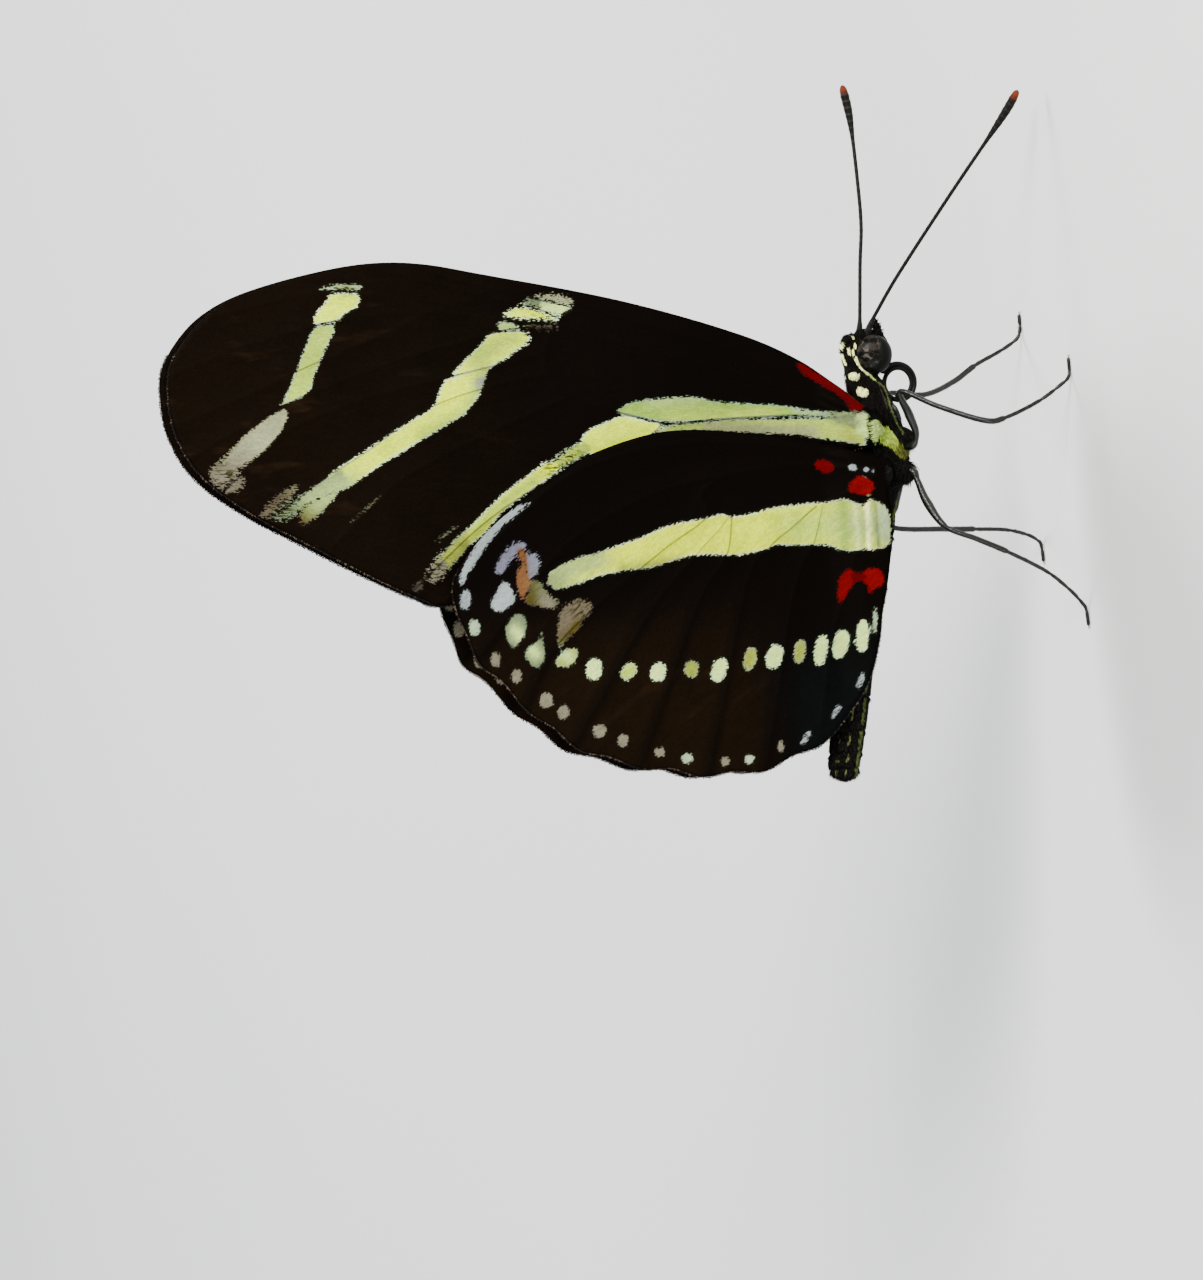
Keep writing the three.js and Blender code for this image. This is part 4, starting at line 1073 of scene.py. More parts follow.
def addBall(bm, centre, radii, turn=0.0):
    # turn leans the ball about the Y axis, in degrees
    scale = Matrix.Diagonal((*radii, 1))
    lean = Matrix.Rotation(math.radians(turn), 4, "Y")
    bmesh.ops.create_uvsphere(bm, u_segments=40, v_segments=20, radius=1,
                              matrix=Matrix.Translation(centre) @ lean @ scale)


def tubePiece(name, path, radii, around, material, node, side=(0, 1, 0), flat=1.0):
    bm = bmesh.new()
    loft(bm, tubeRings(path, radii, side, flat), around)
    bmesh.ops.recalc_face_normals(bm, faces=bm.faces)
    return finishPiece(name, meshFrom(bm, name), material, [node])


def shareAlong(path):
    # the way walked from the path's start to each of its places, in mm and as a share
    walked = np.concatenate([[0], np.cumsum(np.linalg.norm(np.diff(path, axis=0), axis=1))])
    return walked, walked / walked[-1]


def nearestOn(path, place):
    # number of the path's point that is nearest to a place
    return int(np.argmin(np.sum((path - place) ** 2, axis=1)))


# Body under the coat

trunk = {
    # x, z, half height, half width
    "thorax": [
        (3.6, 11.74, 0.92, 0.78), (2.9, 11.72, 0.92, 0.78), (2.3, 11.66, 0.94, 0.82),
        (1.9, 11.56, 0.98, 0.88), (1.4, 11.42, 1.08, 1.0), (0.7, 11.28, 1.46, 1.25),
        (-0.5, 11.18, 1.74, 1.42), (-1.7, 11.03, 1.83, 1.46), (-2.7, 10.88, 1.5, 1.32),
        (-3.5, 10.83, 1.1, 1.06), (-4.0, 10.85, 0.82, 0.84), (-4.5, 10.95, 0.72, 0.76),
    ],
    # of the left side: centre, half sizes, lean in degrees
    "lumps": [
        ((1.75, 0.6, 12.1), (0.5, 0.36, 0.3), 20),       # collar lobe
        ((0.35, 1.35, 12.15), (0.95, 0.42, 0.5), -12),   # cover of the forewing's root
        ((0.0, 1.75, 11.65), (1.0, 0.62, 0.42), 0),      # forewing's root
        ((-2.9, 1.85, 11.1), (0.85, 0.72, 0.36), 0),     # hindwing's root
        ((-0.9, 1.15, 9.85), (0.75, 0.6, 0.85), 15),     # mid hip
        ((-2.9, 1.1, 9.9), (0.7, 0.6, 0.8), -10),        # hind hip
    ],
    "sideHeight": 11.5,       # of the line along the thorax and neck where the coat parts
    "around": 48,             # points round a ring
    "limbAround": 20,         # and round a palp or the foreleg's swelling
    "voxel": 0.1,
    "smoothing": 3,
}

abdomen = {
    "path": [(-4.3, 10.9), (-11.0, 12.85), (-21.0, 15.02)],
    "length": 17.3,
    "lean": (-0.97, 0, 0.24), # the way its rings look
    "halfHeight": 1.06,
    "halfWidth": 0.95,
    "waist": 0.74,            # at the thorax, as a share of the full size
    "waistEnd": 0.2,          # share of the length, as in the three that follow
    "taperFrom": 0.66,
    "taperReach": 0.56,
    "segmentEnds": [0.0, 0.139, 0.283, 0.428, 0.566, 0.71, 0.829, 0.904, 0.96, 1.0],
    "swell": (0.98, 0.05),    # size at a segment's front, and growth to its back
    "groove": 0.07,           # depth between segments, in mm
    "grooveWidth": 0.12,
    "grooveFrom": -4.6,       # x of the thorax's end
}

headShape = {
    # centre, half sizes
    "balls": [
        ((4.35, 0.0, 11.66), (1.3, 0.98, 1.12)),       # back and top of the head
        ((4.9, 0.0, 12.0), (0.7, 0.7, 0.7)),           # brow
        ((4.45, 0.0, 10.95), (1.08, 0.8, 0.95)),       # between the eyes
        ((5.25, 0.0, 11.3), (0.62, 0.66, 0.8)),        # frons
        ((5.3, 0.0, 10.7), (0.5, 0.5, 0.5)),           # below the frons
        ((4.25, 0.5, 10.97), (1.04, 0.52, 1.04)),      # under the eye
        ((4.25, -0.5, 10.97), (1.04, 0.52, 1.04)),
        ((4.3, 0.0, 10.15), (0.6, 0.5, 0.34)),         # round the mouth
    ],
    # places and radius
    "palp": [(4.0, 0.42, 10.25, 0.2), (4.5, 0.44, 10.16, 0.28), (4.95, 0.43, 10.2, 0.27),
             (5.45, 0.41, 10.34, 0.19), (5.9, 0.39, 10.46, 0.14), (6.3, 0.37, 10.55, 0.11)],
}

eyes = {
    "centre": (4.34, 0.83, 10.95),
    "radii": (1.18, 0.72, 1.1),
    # places where the painted shade below and behind gives way to the mottling
    "darkBehind": 4.0,
    "darkBelow": 10.75,
    "mottledAbove": 11.4,
}

# the small foreleg lies folded along the front of the thorax
foreleg = {
    # places and radius of the swelling that it makes in the skin
    "underCoat": [(3.0, 0.5, 11.0, 0.24), (2.4, 0.7, 10.8, 0.34), (1.6, 0.95, 10.62, 0.4),
                  (0.8, 1.2, 10.4, 0.42), (0.2, 1.35, 10.2, 0.38), (-0.4, 1.35, 10.0, 0.28)],
    # places along the bare leg, and its radii at shares of its length
    "bare": [(1.2, 0.75, 10.7), (1.3, 1.1, 10.4), (1.0, 1.45, 10.15), (0.6, 1.55, 10.0), (0.15, 1.55, 9.9)],
    "shares": [0, 0.3, 0.9, 1],
    "radii": [0.2, 0.17, 0.14, 0.05],
}


def trunkRings():
    stations = curveThrough(trunk["thorax"], 0.2)
    return [ringAt((x, 0, z), Vector((0, wide, 0)), Vector((0, 0, high)), Vector((-1, 0, 0)))
            for x, z, high, wide in stations]


def segmentPart(share):
    # how far along its own segment each place is
    ends = np.array(abdomen["segmentEnds"])
    index = np.clip(np.searchsorted(ends, share, side="right") - 1, 0, len(ends) - 2)
    return (share - ends[index]) / (ends[index + 1] - ends[index])


def abdomenRings():
    path = curveThrough(abdomen["path"], 0.12)
    walked, share = shareAlong(path)
    lean = Vector(abdomen["lean"]).normalized()
    rings = []
    for (x, z), at, t, part in zip(path, walked, share, segmentPart(share)):
        swell = abdomen["swell"][0] + abdomen["swell"][1] * part
        taper = math.sqrt(1 - (max(t - abdomen["taperFrom"], 0) / abdomen["taperReach"]) ** 2)
        front = abdomen["waist"] + (1 - abdomen["waist"]) * float(smoothStep(t, 0.0, abdomen["waistEnd"]))
        rounding = min(1.0, math.sqrt(max(walked[-1] - at, 0) / 0.45) * 0.75 + 0.25)
        size = swell * taper * front * rounding
        rings.append(ringAt((x, 0, z), Vector((0, abdomen["halfWidth"] * size, 0)),
                            lean.cross(Vector((0, 1, 0))) * abdomen["halfHeight"] * size, lean))
    return rings


def evenMesh(bm, voxel, rounds):
    # one closed skin over all the lumps, a little smoothed where they meet
    rough = bpy.data.meshes.new("rough")
    bm.to_mesh(rough)
    bm.free()
    holder = bpy.data.objects.new("rough", rough)
    bpy.context.scene.collection.objects.link(holder)
    even = holder.modifiers.new("even", "REMESH")
    even.mode = "VOXEL"
    even.voxel_size = voxel
    made = bpy.data.meshes.new_from_object(holder.evaluated_get(bpy.context.evaluated_depsgraph_get()))
    bpy.data.objects.remove(holder)
    smooth = bmesh.new()
    smooth.from_mesh(made)
    for turn in range(rounds):
        bmesh.ops.smooth_vert(smooth, verts=smooth.verts, factor=0.5, use_axis_x=True, use_axis_y=True,
                              use_axis_z=True)
    return smooth


# Markings of the body, in mm

slant = math.tan(math.radians(view["lookDown"]))

# colour, half width, path along x and the height as it shows from the camera, a little above the side
bodyMarks = [
    ("milk", 0.1, [(5.08, 12.6), (4.9, 12.66)]),
    ("milk", 0.08, [(4.74, 12.32), (4.5, 12.28)]),
    ("milk", 0.08, [(4.62, 12.06), (4.38, 12.04)]),
    ("milk", 0.065, [(5.0, 11.9), (4.8, 11.9)]),
    ("milk", 0.05, [(5.42, 11.98), (5.4, 12.05)]),
    ("milk", 0.065, [(4.42, 12.74), (4.15, 12.66), (3.85, 12.56)]),
    ("milk", 0.13, [(4.1, 11.9), (3.85, 11.76), (3.5, 11.56)]),
    ("milk", 0.1, [(3.5, 11.54), (3.2, 11.3)]),
    ("ivory", 0.06, [(3.2, 11.26), (3.0, 11.08), (2.8, 10.88)]),
    ("milk", 0.21, [(3.12, 12.24), (3.04, 12.0)]),
    ("milk", 0.05, [(3.16, 12.68), (3.02, 12.66)]),
    ("milk", 0.27, [(2.14, 11.8), (2.04, 11.6)]),
    ("moss", 0.05, [(2.71, 10.81), (2.33, 10.36), (1.8, 10.18), (0.92, 10.02), (-0.1, 9.7), (-0.65, 9.4)]),
    ("smoke", 0.03, [(2.4, 10.62), (1.8, 10.42), (1.0, 10.24)]),
    ("ivory", 0.3, [(0.58, 11.85), (-0.2, 11.85)]),
    ("sage", 0.27, [(0.6, 12.5), (-0.1, 12.5)]),
    ("straw", 0.2, [(-0.72, 12.55), (-0.9, 12.2)]),
    ("ivory", 0.3, [(0.1, 11.12), (-0.45, 10.75)]),
    ("ivory", 0.24, [(-0.1, 11.18), (-0.85, 11.12)]),
    ("creamGreen", 0.34, [(-0.75, 10.85), (-1.0, 10.3)]),
    ("creamGreen", 0.3, [(-0.45, 10.4), (-1.2, 9.98)]),
    ("straw", 0.28, [(-1.2, 10.1), (-1.5, 9.8)]),
    ("oliveGrey", 0.32, [(-1.5, 9.78), (-1.85, 9.5)]),
]

# on each segment of the abdomen: how far below its middle, share of its length, half width, colour
abdomenSpots = [(0.82, 0.8, 0.09, "lime"), (0.15, 0.36, 0.07, "moss"), (-0.45, 0.26, 0.06, "lime")]


def markPaths():
    # every marking of the body as a path with its colour and half width
    paths = [(colour, width, np.array(path)) for colour, width, path in bodyMarks]
    path = curveThrough(abdomen["path"], 0.1)
    share = shareAlong(path)[1]
    for front, back in zip(abdomen["segmentEnds"], abdomen["segmentEnds"][1:]):
        for drop, reach, width, colour in abdomenSpots:
            middle, half = (front + back) / 2, (back - front) * reach / 2
            run = path[(share > middle - half) & (share < middle + half)] - [0, drop]
            paths.append((colour, width, run))
    return paths


def bodyPaint(points):
    # distance to the nearest marking's edge and its colour
    places = np.stack([points[:, 0], points[:, 2] - np.abs(points[:, 1]) * slant], 1)
    edge = np.full(len(points), farOff)
    colour = np.tile(np.array(paint["cream"]), (len(points), 1))
    for name, width, path in markPaths():
        gap = gapToPath(places, path) - width
        colour[gap < edge] = paint[name]
        edge = np.minimum(edge, gap)
    return edge, colour


def carveGrooves(bm):
    # a shallow groove round the abdomen at each segment's end
    path = curveThrough(abdomen["path"], 0.05)
    share = shareAlong(path)[1]
    for vert in bm.verts:
        if vert.co.x < abdomen["grooveFrom"]:
            t = float(np.interp(-vert.co.x, -path[:, 0], share))
            near = min(abs(t - end) for end in abdomen["segmentEnds"][1:-1]) * abdomen["length"]
            vert.co -= vert.normal * abdomen["groove"] * math.exp(-(near / abdomen["grooveWidth"]) ** 2)


def bodySkin(material):
    bm = bmesh.new()
    loft(bm, trunkRings(), trunk["around"])
    loft(bm, abdomenRings(), trunk["around"])
    for centre, radii in headShape["balls"]:
        addBall(bm, centre, radii)
    for side in sides.values():
        palp = curveThrough(np.array(headShape["palp"]) * [1, side, 1, 1], 0.08)
        loft(bm, tubeRings(palp[:, :3], palp[:, 3]), trunk["limbAround"])
        for (x, y, z), radii, lean in trunk["lumps"]:
            addBall(bm, (x, y * side, z), radii, lean)
        folded = curveThrough(np.array(foreleg["underCoat"]) * [1, side, 1, 1], 0.1)
        loft(bm, tubeRings(folded[:, :3], folded[:, 3]), trunk["limbAround"])
    bm = evenMesh(bm, trunk["voxel"], trunk["smoothing"])
    bm.normal_update()
    carveGrooves(bm)
    bmesh.ops.recalc_face_normals(bm, faces=bm.faces)
    bmesh.ops.triangulate(bm, faces=bm.faces)
    mesh = meshFrom(bm, "body")
    edge, colour = bodyPaint(pointsOf(mesh))
    setFloat(mesh, "markEdge", edge)
    setColour(mesh, "mark", colour)
    nodes = ["thorax", "abdomen", "head", "palp_left", "palp_right"]
    return finishPiece("body", mesh, material, nodes)


# Coats of the body

# each layer's region, number of tufts, their length and width, lift from the skin in radians and droop
coats = {
    "headCoat": [
        ("head", 6500, (0.12, 0.2), 0.065, (0.08, 0.3), 0.15),
        ("crown", 420, (0.25, 0.4), 0.05, (0.4, 0.9), 0.1),
        ("frons", 500, (0.2, 0.32), 0.05, (0.2, 0.6), 0.1),
        ("palps", 2400, (0.12, 0.2), 0.05, (0.0, 0.1), 0.1),
        ("palpTip", 200, (0.24, 0.36), 0.05, (-0.1, 0.0), 0.0),
        ("neck", 5600, (0.12, 0.2), 0.055, (0.08, 0.3), 0.15),
        ("neck", 400, (0.3, 0.5), 0.035, (0.3, 0.7), 0.3),
    ],
    "thoraxCoat": [
        ("shoulder", 3800, (0.14, 0.24), 0.055, (0.08, 0.25), 0.12),
        ("thorax", 8000, (0.2, 0.36), 0.08, (0.08, 0.3), 0.12),
        ("thorax", 2200, (0.5, 0.8), 0.035, (0.15, 0.45), 0.25),
        ("foreRoots", 1600, (0.3, 0.5), 0.045, (0.0, 0.2), 0.05),
        ("hindRoots", 800, (0.15, 0.3), 0.045, (0.0, 0.2), 0.05),
    ],
    "abdomenCoat": [
        ("abdomen", 9500, (0.26, 0.38), 0.13, (0.06, 0.2), 0.05),
        ("abdomen", 900, (0.4, 0.6), 0.04, (0.2, 0.5), 0.2),
        ("tail", 500, (0.35, 0.6), 0.05, (0.05, 0.35), 0.1),
    ],
}

coatLook = {
    "stray": 0.16,            # how far tufts stray from the way they lie, and on the palps
    "palpStray": 0.05,
    "uneven": 0.02,           # of the markings' edges, in mm
    "black": linear(4, 3, 2),
    "lighter": linear(20, 16, 12),
    "seed": 23,
}

# how the coat lies: forwards, and upwards on the lower and on the upper half of the thorax and neck
flows = {
    "head": (-1.0, 0.12, 0.12),
    "crown": (0.8, 0.7, 0.7),
    "frons": (0.6, -0.8, -0.8),
    "palps": (0.95, 0.2, 0.2),
    "palpTip": (0.95, 0.2, 0.2),
    "neck": (-1.0, -0.6, 0.2),
    "shoulder": (-1.0, -0.35, 0.1),
    "thorax": (-1.0, -0.35, 0.1),
    "foreRoots": (-0.1, 1.0, 1.0),
    "hindRoots": (-0.1, 1.0, 1.0),
    "abdomen": (-1.0, 0.22, 0.22),
    "tail": (-1.0, 0.22, 0.22),
}


def regionOf(name, points):
    # which places belong to a region of the coat
    x, y, z = points[:, 0], np.abs(points[:, 1]), points[:, 2]
    fromEye = np.linalg.norm((np.stack([x, y, z], 1) - eyes["centre"]) / eyes["radii"], axis=1)
    clear = fromEye > 1.03
    palp = (x > 4.1) & (z < 10.3 + (x - 4.3) * 0.25) | (x > 5.75)
    foreRoot = (y > 1.55) & (np.abs(x) < 0.95) & (z > 11.2)
    hindRoot = (y > 1.55) & (np.abs(x + 2.9) < 0.8) & (z > 10.75)
    regions = {
        "head": clear & (x > 3.1) & ~palp,
        "crown": clear & (x > 4.5) & (x < 5.6) & (z > 11.75) & (y < 0.6),
        "frons": clear & (x > 5.0) & (z > 10.3) & (z < 11.9) & (y < 0.7),
        "palps": clear & palp,
        "palpTip": palp & (x > 6.0),
        "neck": (x > 2.1) & (x < 3.5),
        "shoulder": (x > 1.2) & (x < 2.7) & ~foreRoot,
        "thorax": (x > -4.5) & (x < 1.4) & ~foreRoot & ~hindRoot,
        "foreRoots": foreRoot,
        "hindRoots": hindRoot,
        "abdomen": x < -4.2,
        "tail": x < -20.2,
    }
    return regions[name]


def flowOf(name, points):
    # the way the coat lies, before it is laid on the skin
    forward, low, high = flows[name]
    up = np.where(points[:, 2] < trunk["sideHeight"], low, high)
    return np.stack([np.full(len(points), forward), np.zeros(len(points)), up], 1)


def unwrapOf(points):
    # along the body, which lies within x -21.2 to 6.8, and round it
    axis = np.interp(points[:, 0], [-21, -11, -4.3, 6.5], [15.0, 12.85, 10.9, 11.6])
    turn = np.arctan2(points[:, 1], points[:, 2] - axis) / (2 * math.pi) + 0.5
    return ontoMap(np.stack([(points[:, 0] + 21.2) / 28.0, turn], 1))


def scatter(points, faces, inside, count, rng):
    # evenly random places on the chosen faces, with the way out of the skin
    a, b, c = (points[faces[inside][:, k]] for k in range(3))
    cross = np.cross(b - a, c - a)
    area = np.linalg.norm(cross, axis=1)
    picked = rng.choice(len(area), count, p=area / area.sum())
    u, v = rng.random((2, count, 1))
    flip = u + v > 1
    u, v = np.where(flip, 1 - u, u), np.where(flip, 1 - v, v)
    roots = a[picked] + u * (b - a)[picked] + v * (c - a)[picked]
    return roots, cross[picked] / area[picked][:, None]


def coatLayer(layer, points, faces, middles, rng):
    # where one layer's tufts stand, how they lie and their colours
    where, count, length, width, lift, bend = layer
    roots, out = scatter(points, faces, regionOf(where, middles), count, rng)
    stray = coatLook["palpStray"] if "palp" in where else coatLook["stray"]
    lie = flowOf(where, roots) + rng.normal(0, stray, (count, 3))
    lie -= out * np.sum(lie * out, axis=1, keepdims=True)
    lie /= np.linalg.norm(lie, axis=1, keepdims=True)
    reach = rng.uniform(*length, count)
    edge, tint = bodyPaint(roots + lie * reach[:, None] * 0.6)
    marked = (edge + rng.normal(0, coatLook["uneven"], count) < 0)[:, None]
    dark = np.array(coatLook["black"]) + rng.random((count, 1)) ** 4 * np.array(coatLook["lighter"])
    return {
        "roots": roots, "lie": lie, "out": out, "length": reach,
        "colour": np.where(marked, tint * rng.uniform(0.85, 1.15, (count, 1)), dark),
        "width": width * rng.uniform(0.8, 1.2, count),
        "lift": rng.uniform(*lift, count),
        "bend": np.full(count, bend),
    }


def bodyCoat(skin, material):
    rng = np.random.default_rng(coatLook["seed"])
    points = pointsOf(skin.data)
    faces = np.empty(len(skin.data.polygons) * 3, np.int32)
    skin.data.polygons.foreach_get("vertices", faces)
    faces = faces.reshape(-1, 3)
    middles = points[faces].mean(1)
    for name, layers in coats.items():
        parts = [coatLayer(layer, points, faces, middles, rng) for layer in layers]
        whole = {key: np.concatenate([part[key] for part in parts]) for key in parts[0]}
        mesh = coatMesh(name, **whole, spots=unwrapOf(whole["roots"]), rings=2)
        finishPiece(name, mesh, material)
        print("coat made:", name, len(whole["roots"]), "tufts")


def makeEyes(material):
    x, y, z = eyes["centre"]
    scale = Matrix.Diagonal((*eyes["radii"], 1))
    for name, side in sides.items():
        place = Matrix.Translation((x, y * side, z))
        bm = bmesh.new()
        bmesh.ops.create_icosphere(bm, subdivisions=5, radius=1, matrix=place @ scale)
        finishPiece(f"eye_dome_{name}", meshFrom(bm, "eye"), material, [f"eye_{name}"])


# Antennae, tongue and legs

antennae = {
    "right": [(5.2, -0.36, 11.3), (5.6, -0.4, 11.15), (6.2, -0.52, 10.92), (6.9, -0.72, 10.52),
              (9.1, -1.4, 9.1), (13.5, -2.6, 5.85), (17.7, -3.6, 2.6), (19.4, -4.0, 1.45)],
    "left": [(5.2, 0.32, 11.75), (5.6, 0.4, 11.55), (6.25, 0.5, 11.35), (9.8, 1.0, 10.88),
             (12.3, 1.6, 10.44), (15.2, 2.2, 10.28), (18.7, 3.0, 10.2), (20.85, 3.4, 10.4)],
    "around": 14,
    "segment": 0.42,
    "shaft": 0.115,
    "club": 0.26,
    "clubStart": (0.76, 0.94),      # shares of the length over which it swells
    "tip": 0.955,                   # share where it starts to close
    "socket": 0.12,                 # added to the radius at the head
}


def makeAntennae(material):
    tip = antennae["tip"]
    for name in sides:
        path = curveThrough(antennae[name], 0.07)
        walked, share = shareAlong(path)
        swell = smoothStep(share, *antennae["clubStart"])
        closing = np.sqrt(np.clip(1 - ((share - tip) / (1 - tip)).clip(0) ** 2, 0, 1))
        radii = antennae["shaft"] + (antennae["club"] - antennae["shaft"]) * swell
        radii *= 0.2 + 0.8 * closing
        part = (walked / antennae["segment"]) % 1.0
        radii *= 1 + 0.07 * smoothStep(part, 0.2, 0.9) - 0.08 * np.exp(-((part - 1) / 0.06) ** 2)
        radii += antennae["socket"] * (1 - smoothStep(walked, 0.4, 1.6))
        piece = tubePiece(f"ringed_antenna_{name}", path, radii, antennae["around"], material,
                          f"antenna_{name}")
        places = pointsOf(piece.data)
        nearest = [nearestOn(path, place) for place in places]
        setFloat(piece.data, "ringShade", smoothStep(part[nearest], 0.75, 0.95))
        setFloat(piece.data, "clubShade", smoothStep(share[nearest], tip, 0.99))


tongue = {
    "mouth": [(4.1, 0, 10.5), (3.6, 0, 10.4)],
    "around": 18,
    "centre": (2.5, 9.41),
    "outer": (1.22, 1.14),          # half length and half height of the first turn
    "inner": (0.8, 0.72),
    "start": 150,                   # degrees round the coil
    "turns": 1.75,
    "sideways": -0.14,              # of the coil's inner end
    "thick": (0.18, 0.12),
    "rings": 0.09,
}


def makeTongue(material):
    # leaves the mouth, passes over the top of the coil and winds inwards
    share = np.linspace(0, 1, 240)
    angles = math.radians(tongue["start"]) - share * tongue["turns"] * 2 * math.pi
    shrink = share[:, None] ** 0.8
    half = np.array(tongue["outer"]) * (1 - shrink) + np.array(tongue["inner"]) * shrink
    x, z = tongue["centre"]
    coil = np.stack([x + half[:, 0] * np.sin(angles), share * tongue["sideways"],
                     z - half[:, 1] * np.cos(angles)], 1)
    path = curveThrough(np.vstack([tongue["mouth"], coil[4::5]]), 0.035)
    walked, share = shareAlong(path)
    thick = np.interp(share, [0, 1], tongue["thick"])
    thick *= 1 + 0.035 * np.sin(walked / tongue["rings"] * 2 * math.pi)
    thick *= np.clip((1 - share) / 0.02, 0.25, 1)
    tubePiece("coiled_tongue", path, thick, tongue["around"], material, "proboscis", flat=1.25)


legs = {
    # places from hip to claws, and the numbers of the knee and the ankle among them
    "midleg_right": {"knee": 4, "ankle": 7, "places": [
        (-1.2, -1.1, 9.9), (-1.3, -1.7, 9.3), (-0.6, -2.2, 9.15), (0.6, -2.55, 9.6), (1.95, -2.8, 10.05),
        (0.85, -3.9, 8.1), (-0.25, -5.0, 5.6), (-0.2, -5.1, 4.3), (0.6, -5.15, 2.2), (1.5, -5.2, 0.7),
        (2.0, -5.2, 0.16), (3.1, -5.2, 0.1)]},
    "midleg_left": {"knee": 4, "ankle": 7, "places": [
        (-1.2, 1.1, 9.9), (-1.3, 1.7, 9.4), (-0.6, 2.2, 9.2), (0.6, 2.45, 9.3), (1.95, 2.7, 9.4),
        (1.75, 3.4, 6.9), (2.4, 4.4, 4.8), (3.3, 4.9, 3.2), (4.0, 5.1, 1.6), (4.6, 5.2, 0.5),
        (5.1, 5.2, 0.16), (6.2, 5.2, 0.1)]},
    "hindleg_right": {"knee": 4, "ankle": 6, "places": [
        (-2.9, -1.0, 9.9), (-2.9, -1.5, 9.4), (-3.5, -1.8, 9.2), (-4.8, -2.4, 8.9), (-6.4, -3.3, 8.1),
        (-7.3, -3.9, 6.4), (-8.25, -4.2, 4.6), (-9.6, -4.4, 2.4), (-10.8, -4.5, 1.1), (-11.7, -4.5, 0.36),
        (-12.1, -4.5, 0.16), (-13.1, -4.5, 0.1)]},
    "hindleg_left": {"knee": 4, "ankle": 6, "places": [
        (-2.9, 1.0, 9.9), (-2.9, 1.5, 9.5), (-3.6, 1.7, 9.4), (-4.8, 2.1, 9.75), (-6.1, 2.4, 9.95),
        (-6.5, 3.3, 6.4), (-6.65, 3.9, 4.4), (-6.85, 4.2, 2.4), (-7.25, 4.45, 1.0), (-7.7, 4.5, 0.3),
        (-8.0, 4.5, 0.16), (-9.0, 4.5, 0.1)]},
}

legShape = {
    "around": 14,
    # radii; slim is between hip and thigh and just before the knee
    "hip": 0.34,
    "slim": 0.19,
    "thigh": 0.28,
    "knee": 0.15,
    "shin": 0.18,
    "foot": 0.125,
    "hipLength": 1.3,
    "footJoints": (0.0, 0.42, 0.6, 0.74, 0.86),     # shares of the foot's length
    "jointDip": 0.28,
    "jointWidth": 0.018,
}


def legRadii(path, kneeAt, ankleAt):
    # thick at the hip, a swelling thigh, a slender shin and a foot of five parts
    walked = shareAlong(path)[0]
    knee, ankle, end = walked[kneeAt], walked[ankleAt], walked[-1]
    hip = legShape["hipLength"]
    sizes = [
        (0, legShape["hip"]), (hip * 0.7, legShape["hip"] * 0.85), (hip, legShape["slim"]),
        ((hip + knee) * 0.5, legShape["thigh"]), (knee - 0.15, legShape["slim"]), (knee, legShape["knee"]),
        (knee + 0.3, legShape["shin"] * 0.88), (ankle - 0.1, legShape["shin"]),
        (ankle + 0.1, legShape["foot"]), (end, legShape["foot"] * 0.85),
    ]
    radii = np.interp(walked, *zip(*sizes))
    foot = (walked - ankle) / (end - ankle)
    for joint in legShape["footJoints"]:
        radii *= 1 - legShape["jointDip"] * np.exp(-((foot - joint) / legShape["jointWidth"]) ** 2)
    return radii * np.clip((end - walked) / 0.12 + 0.3, 0.3, 1)


def makeLegs(material):
    # returns each walking leg's path, its radii and the number of its knee on the path
    paths = []
    for name, leg in legs.items():
        places = np.array(leg["places"])
        path = curveThrough(places, 0.09)
        knee, ankle = (nearestOn(path, places[leg[joint]]) for joint in ("knee", "ankle"))
        radii = legRadii(path, knee, ankle)
        paths.append((path, radii, knee))
        tubePiece(f"jointed_{name}", path, radii, legShape["around"], material, name, side=(0.3, 0.2, 0.9))
    for name, side in sides.items():
        path = curveThrough(np.array(foreleg["bare"]) * [1, side, 1], 0.06)
        radii = np.interp(shareAlong(path)[1], foreleg["shares"], foreleg["radii"])
        tubePiece(f"folded_foreleg_{name}", path, radii, legShape["around"], material, f"foreleg_{name}")
    return paths


legHair = {
    "every": 0.02,
    "length": (0.1, 0.2),
    "width": 0.025,
    "lift": (0.3, 0.7),
    "bend": 0.15,
    "clawLength": 0.34,
    "clawWidth": 0.07,
    "clawSpread": 0.55,
    "colour": linear(12, 11, 10),
    "seed": 31,
}


def legBristles(path, radii, knee, rng):
    # where a leg's bristles stand below the knee: roots, way ahead, way out, length and width
    walked = shareAlong(path)[0]
    count = int((walked[-1] - walked[knee]) / legHair["every"])
    at = rng.uniform(walked[knee], walked[-1] - 0.15, count)
    ahead = np.stack([np.interp(at, walked, np.gradient(path[:, k], walked)) for k in range(3)], 1)
    ahead /= np.linalg.norm(ahead, axis=1, keepdims=True)
    out = rng.normal(0, 1, (count, 3))
    out -= ahead * np.sum(out * ahead, axis=1, keepdims=True)
    out /= np.linalg.norm(out, axis=1, keepdims=True)
    middle = np.stack([np.interp(at, walked, path[:, k]) for k in range(3)], 1)
    roots = middle + out * np.interp(at, walked, radii)[:, None] * 0.85
    return roots, ahead, out, rng.uniform(*legHair["length"], count), np.full(count, legHair["width"])


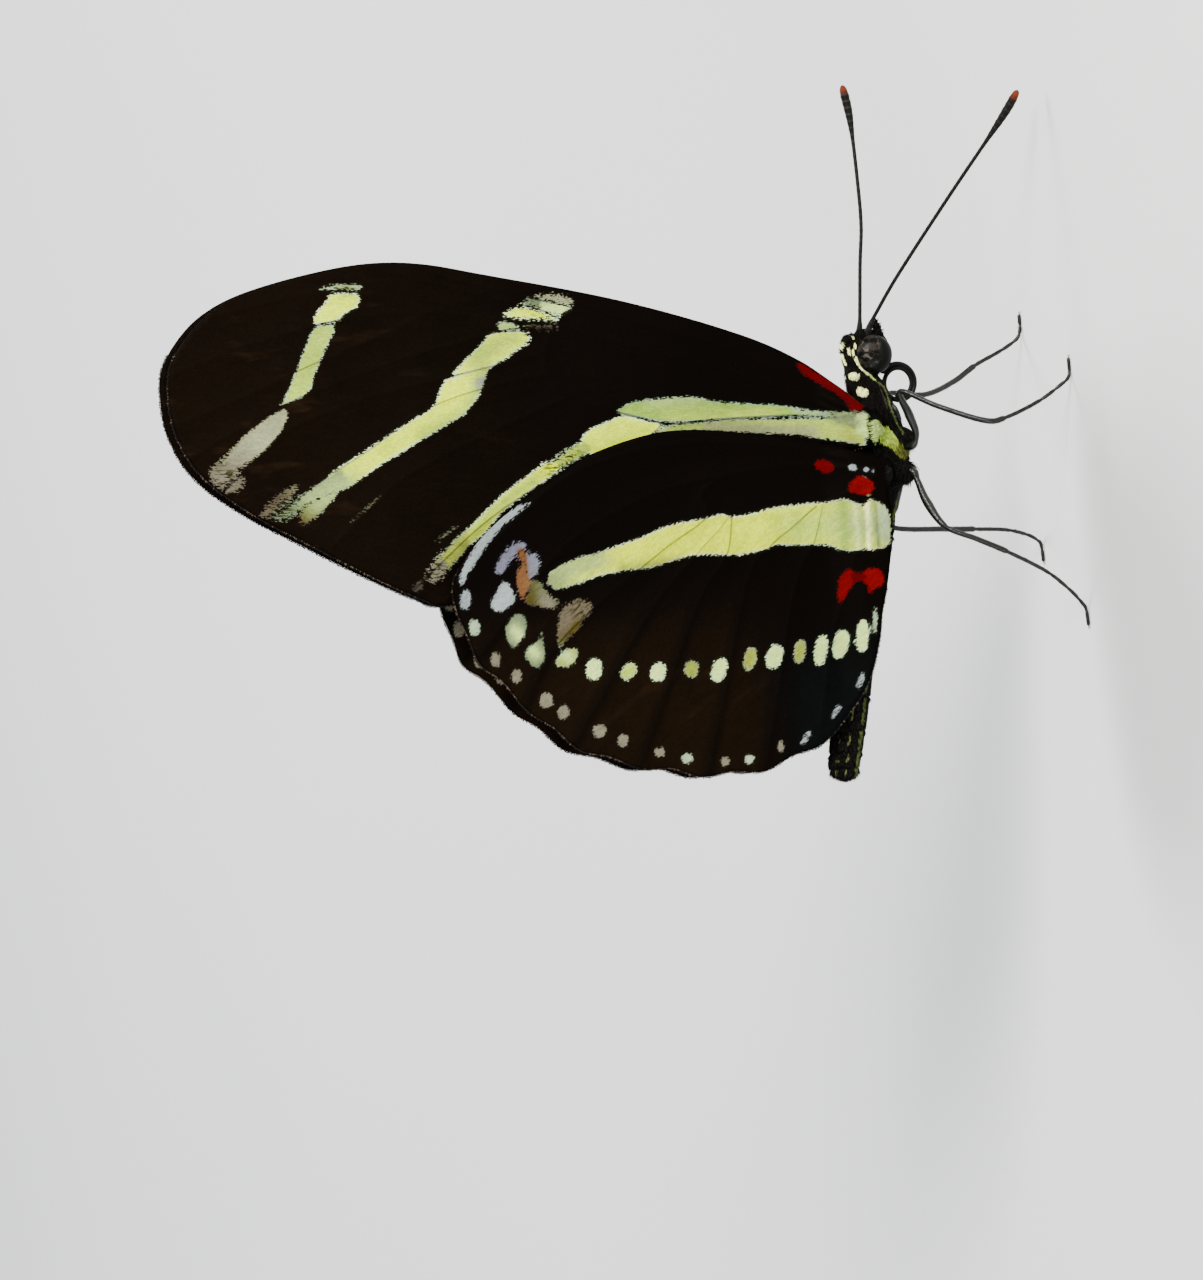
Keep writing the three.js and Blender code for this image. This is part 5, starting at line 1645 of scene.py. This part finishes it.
def legClaw(path, sideways):
    # the same five values for one claw at the foot's end
    end, before = path[-1], path[-6]
    way = (end - before) / np.linalg.norm(end - before)
    spread = np.array([0.0, sideways * legHair["clawSpread"], 0.0]) + way
    spread[2] = max(spread[2], -end[2] * 0.2)
    spread /= np.linalg.norm(spread)
    return ((end - way * 0.08)[None], spread[None], np.array([[0.0, 0.0, 1.0]]),
            np.array([legHair["clawLength"]]), np.array([legHair["clawWidth"]]))


def legCoat(paths, material):
    # short bristles along the shins and feet, and two claws at each foot's end
    rng = np.random.default_rng(legHair["seed"])
    rows = []
    for path, radii, knee in paths:
        rows.append(legBristles(path, radii, knee, rng))
        rows += [legClaw(path, sideways) for sideways in (-1, 1)]
    roots, lie, out, length, width = (np.concatenate(part) for part in zip(*rows))
    lift = rng.uniform(*legHair["lift"], len(roots)) * (width < legHair["clawWidth"])
    colour = np.tile(legHair["colour"], (len(roots), 1))
    # the legs lie within x -14 to 8 and z 0 to 12
    spots = ontoMap(np.stack([(roots[:, 0] + 14) / 22, roots[:, 2] / 12], 1))
    mesh = coatMesh("leg_bristles", roots, lie, out, length, width, lift, legHair["bend"], colour, spots)
    finishPiece(mesh.name, mesh, material)


def makeBody():
    skin = bodySkin(skinMaterial())
    print("body skin made")
    coatHairs = tuftMaterial("coatHairs", 0.6, 0.05, 5.0, 0.7, 1.35)
    bodyCoat(skin, coatHairs)
    makeEyes(eyeMaterial())
    makeAntennae(antennaMaterial())
    makeTongue(cuticleMaterial("tongueCuticle", linear(4, 4, 3), linear(9, 10, 7), 0.3, 0.08))
    legPaths = makeLegs(cuticleMaterial("legCuticle", linear(5, 6, 4), linear(15, 17, 12), 0.26, 0.28))
    legCoat(legPaths, coatHairs)
    print("head parts and legs made")


# Floor

floorReach = 3000


def makeFloor(material):
    bm = bmesh.new()
    bmesh.ops.create_grid(bm, x_segments=8, y_segments=8, size=floorReach)
    mesh = meshFrom(bm, "floor")
    mesh.materials.append(material)
    floor = bpy.data.objects.new("floor", mesh)
    bpy.context.scene.collection.objects.link(floor)


makeCamera()
makeLights()
makeFloor(floorMaterial())
makeWings()
makeBody()
